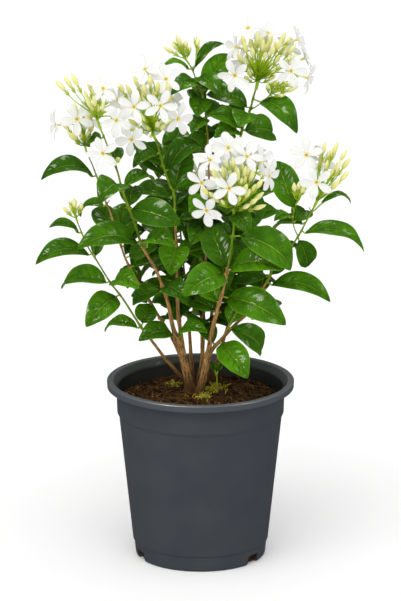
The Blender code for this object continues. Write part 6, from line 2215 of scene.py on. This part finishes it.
class OBJECT_OT_jasmine_heads(bpy.types.Operator):
    """Model one petal, tube, calyx and bud, and set copies of them in every head"""
    bl_idname = "object.jasmine_heads"
    bl_label = "Flowers and buds"

    def execute(self, context):
        flower = context.scene.jasmine_flower
        models = {
            "petal": blank(*PETAL_GRID, PETAL_WALL, [petal_finish()]),
            "tube": tube_model(TUBE_PROFILE, 10, [petal_finish()]),
            "bud": bud_model(),
            "neck": tube_model(NECK_PROFILE, 8, [bud_finish()]),
            "calyx": calyx_model(flower.tooth),
            "pedicel": blank(*PEDICEL_GRID, 0, [stalk_finish()]),
        }
        for name, head in growth()["heads"].items():
            self.head(name, head, models)
        drop(*models.values())
        return {"FINISHED"}

    def head(self, name, head, models):
        """One head's pieces: its petals, its buds, and the green parts that carry them."""
        draw = random.Random("fine " + name)
        stalk, radius = stalk_route(HEADS[name], head["hub"], growth()["branches"])
        stalk_run = end_run(stalk)
        petals, buds = [], []
        greens = [self.stalk(stalk, radius, models["pedicel"])]
        for flower in head["flowers"]:
            petals += self.flower(flower, models, draw)
            throat = flower["route"][1]
            greens += self.pedicel(head["hub"], stalk_run, throat, flower["face"], models, draw)
        for bud in head["buds"]:
            buds += self.bud(bud["route"], head["hub"], stalk_run, models, draw, greens)
        for tip in EXTRA_BUDS.get(name, ()):
            buds += self.bud([spot(*tip)], head["hub"], stalk_run, models, draw, greens,
                             draw.uniform(*SMALL_BUD))
        greens += self.spent(name, head, stalk_run, models, draw)
        first = "flowers" if petals else "buds"
        for kind, slot, pieces in (("flowers", "petal", petals), ("buds", "bud", buds)):
            if pieces:
                gather(f"{kind}_{name}", slot, pieces, [name] if kind == first else ())
        gather(f"greens_{name}", "leaf", greens)

    def stalk(self, stalk, radius, model):
        """The head's stalk up to the hub, where its pedicels part."""
        run = end_run(stalk)
        leave = run_at(stalk, 0)
        line = bent_line(stalk[0] - leave * SEAT * 2, leave, stalk[-1] + run * 2 * MM, run,
                         PEDICEL_GRID[1] - 1)
        last = len(line) - 1
        radii = [radius * (1.0 + 0.25 * (i / last) ** 3) for i in range(len(line))]
        return shaped(model, along_line(line, radii), tone=0.75, along=lambda corner: corner.y)

    def pedicel(self, hub, stalk_run, end, end_run, models, draw):
        """A pedicel that leaves the hub with the stalk and bends to its calyx."""
        calyx_foot = end - end_run * CALYX_LENGTH * 0.6
        start = hub - stalk_run * draw.uniform(0, 2.5) * MM
        leave = (stalk_run + (calyx_foot - hub).normalized() * 0.9).normalized()
        line = bent_line(start, leave, calyx_foot, end_run, PEDICEL_GRID[1] - 1)
        tone = draw.uniform(0.75, 1.0)
        radii = [PEDICEL_RADIUS * (1.25 - 0.25 * i / len(line)) for i in range(len(line))]
        spin = draw.uniform(0, math.tau)
        matrix = standing(calyx_foot, end_run, spin)
        return [shaped(models["pedicel"], along_line(line, radii),
                       along=lambda corner: corner.y * 2,
                       tone=lambda corner: tone * (0.1 + 0.8 * corner.y)),
                shaped(models["calyx"], lambda corner: matrix @ corner, tone=tone,
                       along=lambda corner: corner.z / (4 * MM))]

    def spent(self, name, head, stalk_run, models, draw):
        """Calyxes whose flowers have dropped, set between the others of a head."""
        ends = [flower["route"][1] for flower in head["flowers"]]
        ends += [bud["route"][1] for bud in head["buds"]]
        greens = []
        for _ in range(SPENT_CALYXES.get(name, 3)):
            first, second = draw.choice(ends), draw.choice(ends)
            middle = first.lerp(second, draw.uniform(0.2, 0.8)) - head["hub"]
            reach = min(middle.length, draw.uniform(*SPENT_REACH) * MM)
            run = (middle.normalized() + stalk_run * 0.5).normalized()
            greens += self.pedicel(head["hub"], stalk_run, head["hub"] + run * reach, run,
                                   models, draw)
        return greens

    def flower(self, flower, models, draw):
        """A flower's five petals, no two quite alike, and its narrow tube."""
        matrix = flower_matrix(flower)
        copies = []
        broad = draw.uniform(*PETAL_BREADTH)
        for lobe in range(LOBES):
            turn = math.tau * lobe / LOBES + draw.gauss(0, 0.05)
            place = petal_place(matrix, turn, draw.gauss(0, 0.09), draw.uniform(*PETAL_CUP) * MM,
                                draw.uniform(*PETAL_CURL) * MM, broad * draw.uniform(0.94, 1.04))
            copies.append(shaped(
                models["petal"], place, leafy=0.0, tone=0.0,
                warm=lambda corner: max(0.0, 1 - corner.y / PETAL_THROAT_SHARE) ** 1.5))
        copies.append(shaped(models["tube"], lambda corner: matrix @ corner, tone=0.0,
                             warm=lambda corner: 0.95 if corner.z > -3 * MM else 0.25,
                             leafy=lambda corner: clamped((-corner.z - 4 * MM) / (8 * MM), 0.8)))
        return copies

    def bud(self, route, hub, stalk_run, models, draw, greens, size=1.0):
        """A bud's corolla and neck; its calyx and pedicel are added to the greens."""
        tip = route[-1]
        out = (tip - hub).normalized()
        run = (out * 1.6 + stalk_run * 0.4).normalized()
        reach = (tip - hub).length
        body = min(BUD_LENGTH * size * draw.uniform(*BUD_STRETCH), reach * 0.5)
        neck = min(BUD_NECK * size * draw.uniform(*NECK_STRETCH), reach * 0.2)
        foot = tip - run * body
        calyx_foot = foot - run * neck
        plump = size * draw.uniform(*BUD_PLUMPNESS)
        spin = draw.uniform(0, math.tau)
        matrix = standing(foot, run, spin) @ Matrix.Diagonal((plump, plump, body, 1))
        warm = draw.uniform(0, 0.35)
        leafy = 0.0 if size > 0.9 else draw.uniform(0.0, 0.35)
        copies = [shaped(models["bud"], lambda corner: matrix @ corner, tone=0.0,
                         warm=lambda corner: warm * max(0.0, 1 - corner.z * 1.6),
                         leafy=lambda corner: max(leafy, 0.55 * max(0.0, 1 - corner.z * 5)),
                         along=lambda corner: corner.z * 2)]
        lower = standing(calyx_foot, run, spin) @ Matrix.Diagonal((1, 1, neck, 1))
        copies.append(shaped(models["neck"], lambda corner: lower @ corner, tone=0.0, warm=0.3,
                             leafy=lambda corner: 0.9 - 0.3 * corner.z,
                             along=lambda corner: corner.z))
        greens += self.pedicel(hub, stalk_run, calyx_foot, run, models, draw)
        return copies


class OBJECT_OT_jasmine_stage(bpy.types.Operator):
    """Set the floor, the soft light and the camera"""
    bl_idname = "object.jasmine_stage"
    bl_label = "Stage"

    def execute(self, context):
        scene = context.scene
        chosen = scene.jasmine_stage
        floor = add(bpy.ops.mesh.primitive_plane_add, size=chosen.floor, location=(0, 0, 0))
        floor.name = "floor"
        floor.data.materials.append(floor_finish())
        floor.visible_glossy = False
        world = scene.world or bpy.data.worlds.new("World")
        scene.world = world
        world.use_nodes = True
        sky = world.node_tree.nodes["Background"]
        sky.inputs["Color"].default_value = (1, 1, 1, 1)
        tree = world.node_tree
        path = put(tree, "LightPath")
        lit = put(tree, "MapRange", {"Value": path.outputs["Is Glossy Ray"],
                                     "To Min": chosen.sky, "To Max": chosen.gloss})
        strength = put(tree, "MapRange", {"Value": path.outputs["Is Camera Ray"],
                                          "To Min": lit.outputs["Result"]})
        tree.links.new(strength.outputs["Result"], sky.inputs["Strength"])
        for name, (run, width) in SUNS.items():
            lamp = self.lamp(name, "SUN", (0, 0, 3), Vector(run), getattr(chosen, name))
            lamp.data.angle = math.radians(width)
            lamp.visible_glossy = False
        for name, (place, size, power) in SOFTBOXES.items():
            lamp = self.lamp(name, "AREA", place, Vector(SOFTBOX_AIM) - Vector(place), power)
            lamp.data.size = size
            lamp.data.color = SOFTBOX_COLOUR
            lamp.visible_diffuse = False
        camera = add(bpy.ops.object.camera_add, location=(0, -VIEW_BACK, VIEW_HEIGHT),
                     rotation=(math.pi / 2 - VIEW_TILT, 0, 0))
        camera.name = "camera"
        camera.data.lens = chosen.lens
        camera.data.clip_end = 50.0
        scene.camera = camera
        scene.view_settings.view_transform = "Standard"
        return {"FINISHED"}

    def lamp(self, name, kind, place, run, power):
        """A lamp that stands at a place and shines along a run."""
        made = add(bpy.ops.object.light_add, type=kind, location=place,
                   rotation=run.to_track_quat("-Z", "Y").to_euler())
        made.name = name
        made.data.energy = power
        return made


OPERATORS = (OBJECT_OT_jasmine_pot, OBJECT_OT_jasmine_soil, OBJECT_OT_jasmine_litter,
             OBJECT_OT_jasmine_seedling, OBJECT_OT_jasmine_bark, OBJECT_OT_jasmine_leaves,
             OBJECT_OT_jasmine_heads, OBJECT_OT_jasmine_stage)
SETTINGS = {"jasmine_pot": JasminePotSettings, "jasmine_soil": JasmineSoilSettings,
            "jasmine_wood": JasmineWoodSettings, "jasmine_leaf": JasmineLeafSettings,
            "jasmine_flower": JasmineFlowerSettings, "jasmine_stage": JasmineStageSettings}


class VIEW3D_PT_jasmine(bpy.types.Panel):
    """Buttons for the pieces, and their sizes and colours"""
    bl_idname = "VIEW3D_PT_jasmine"
    bl_label = "Potted Arabian Jasmine"
    bl_space_type = "VIEW_3D"
    bl_region_type = "UI"
    bl_category = "Jasmine"

    def draw(self, context):
        for operator in OPERATORS:
            self.layout.operator(operator.bl_idname)
        for name, group in SETTINGS.items():
            box = self.layout.box()
            box.label(text=name.split("_")[1].title())
            for prop in group.__annotations__:
                box.prop(getattr(context.scene, name), prop)


def register():
    for group in SETTINGS.values():
        bpy.utils.register_class(group)
    for name, group in SETTINGS.items():
        setattr(bpy.types.Scene, name, PointerProperty(type=group))
    for operator in OPERATORS:
        bpy.utils.register_class(operator)
    bpy.utils.register_class(VIEW3D_PT_jasmine)


def unregister():
    bpy.utils.unregister_class(VIEW3D_PT_jasmine)
    for operator in reversed(OPERATORS):
        bpy.utils.unregister_class(operator)
    for name, group in SETTINGS.items():
        delattr(bpy.types.Scene, name)
        bpy.utils.unregister_class(group)


def main():
    register()
    bpy.ops.object.jasmine_pot()
    bpy.ops.object.jasmine_soil()
    bpy.ops.object.jasmine_litter()
    bpy.ops.object.jasmine_seedling()
    bpy.ops.object.jasmine_bark()
    bpy.ops.object.jasmine_leaves()
    bpy.ops.object.jasmine_heads()
    bpy.ops.object.jasmine_stage()


if __name__ == "__main__":
    main()
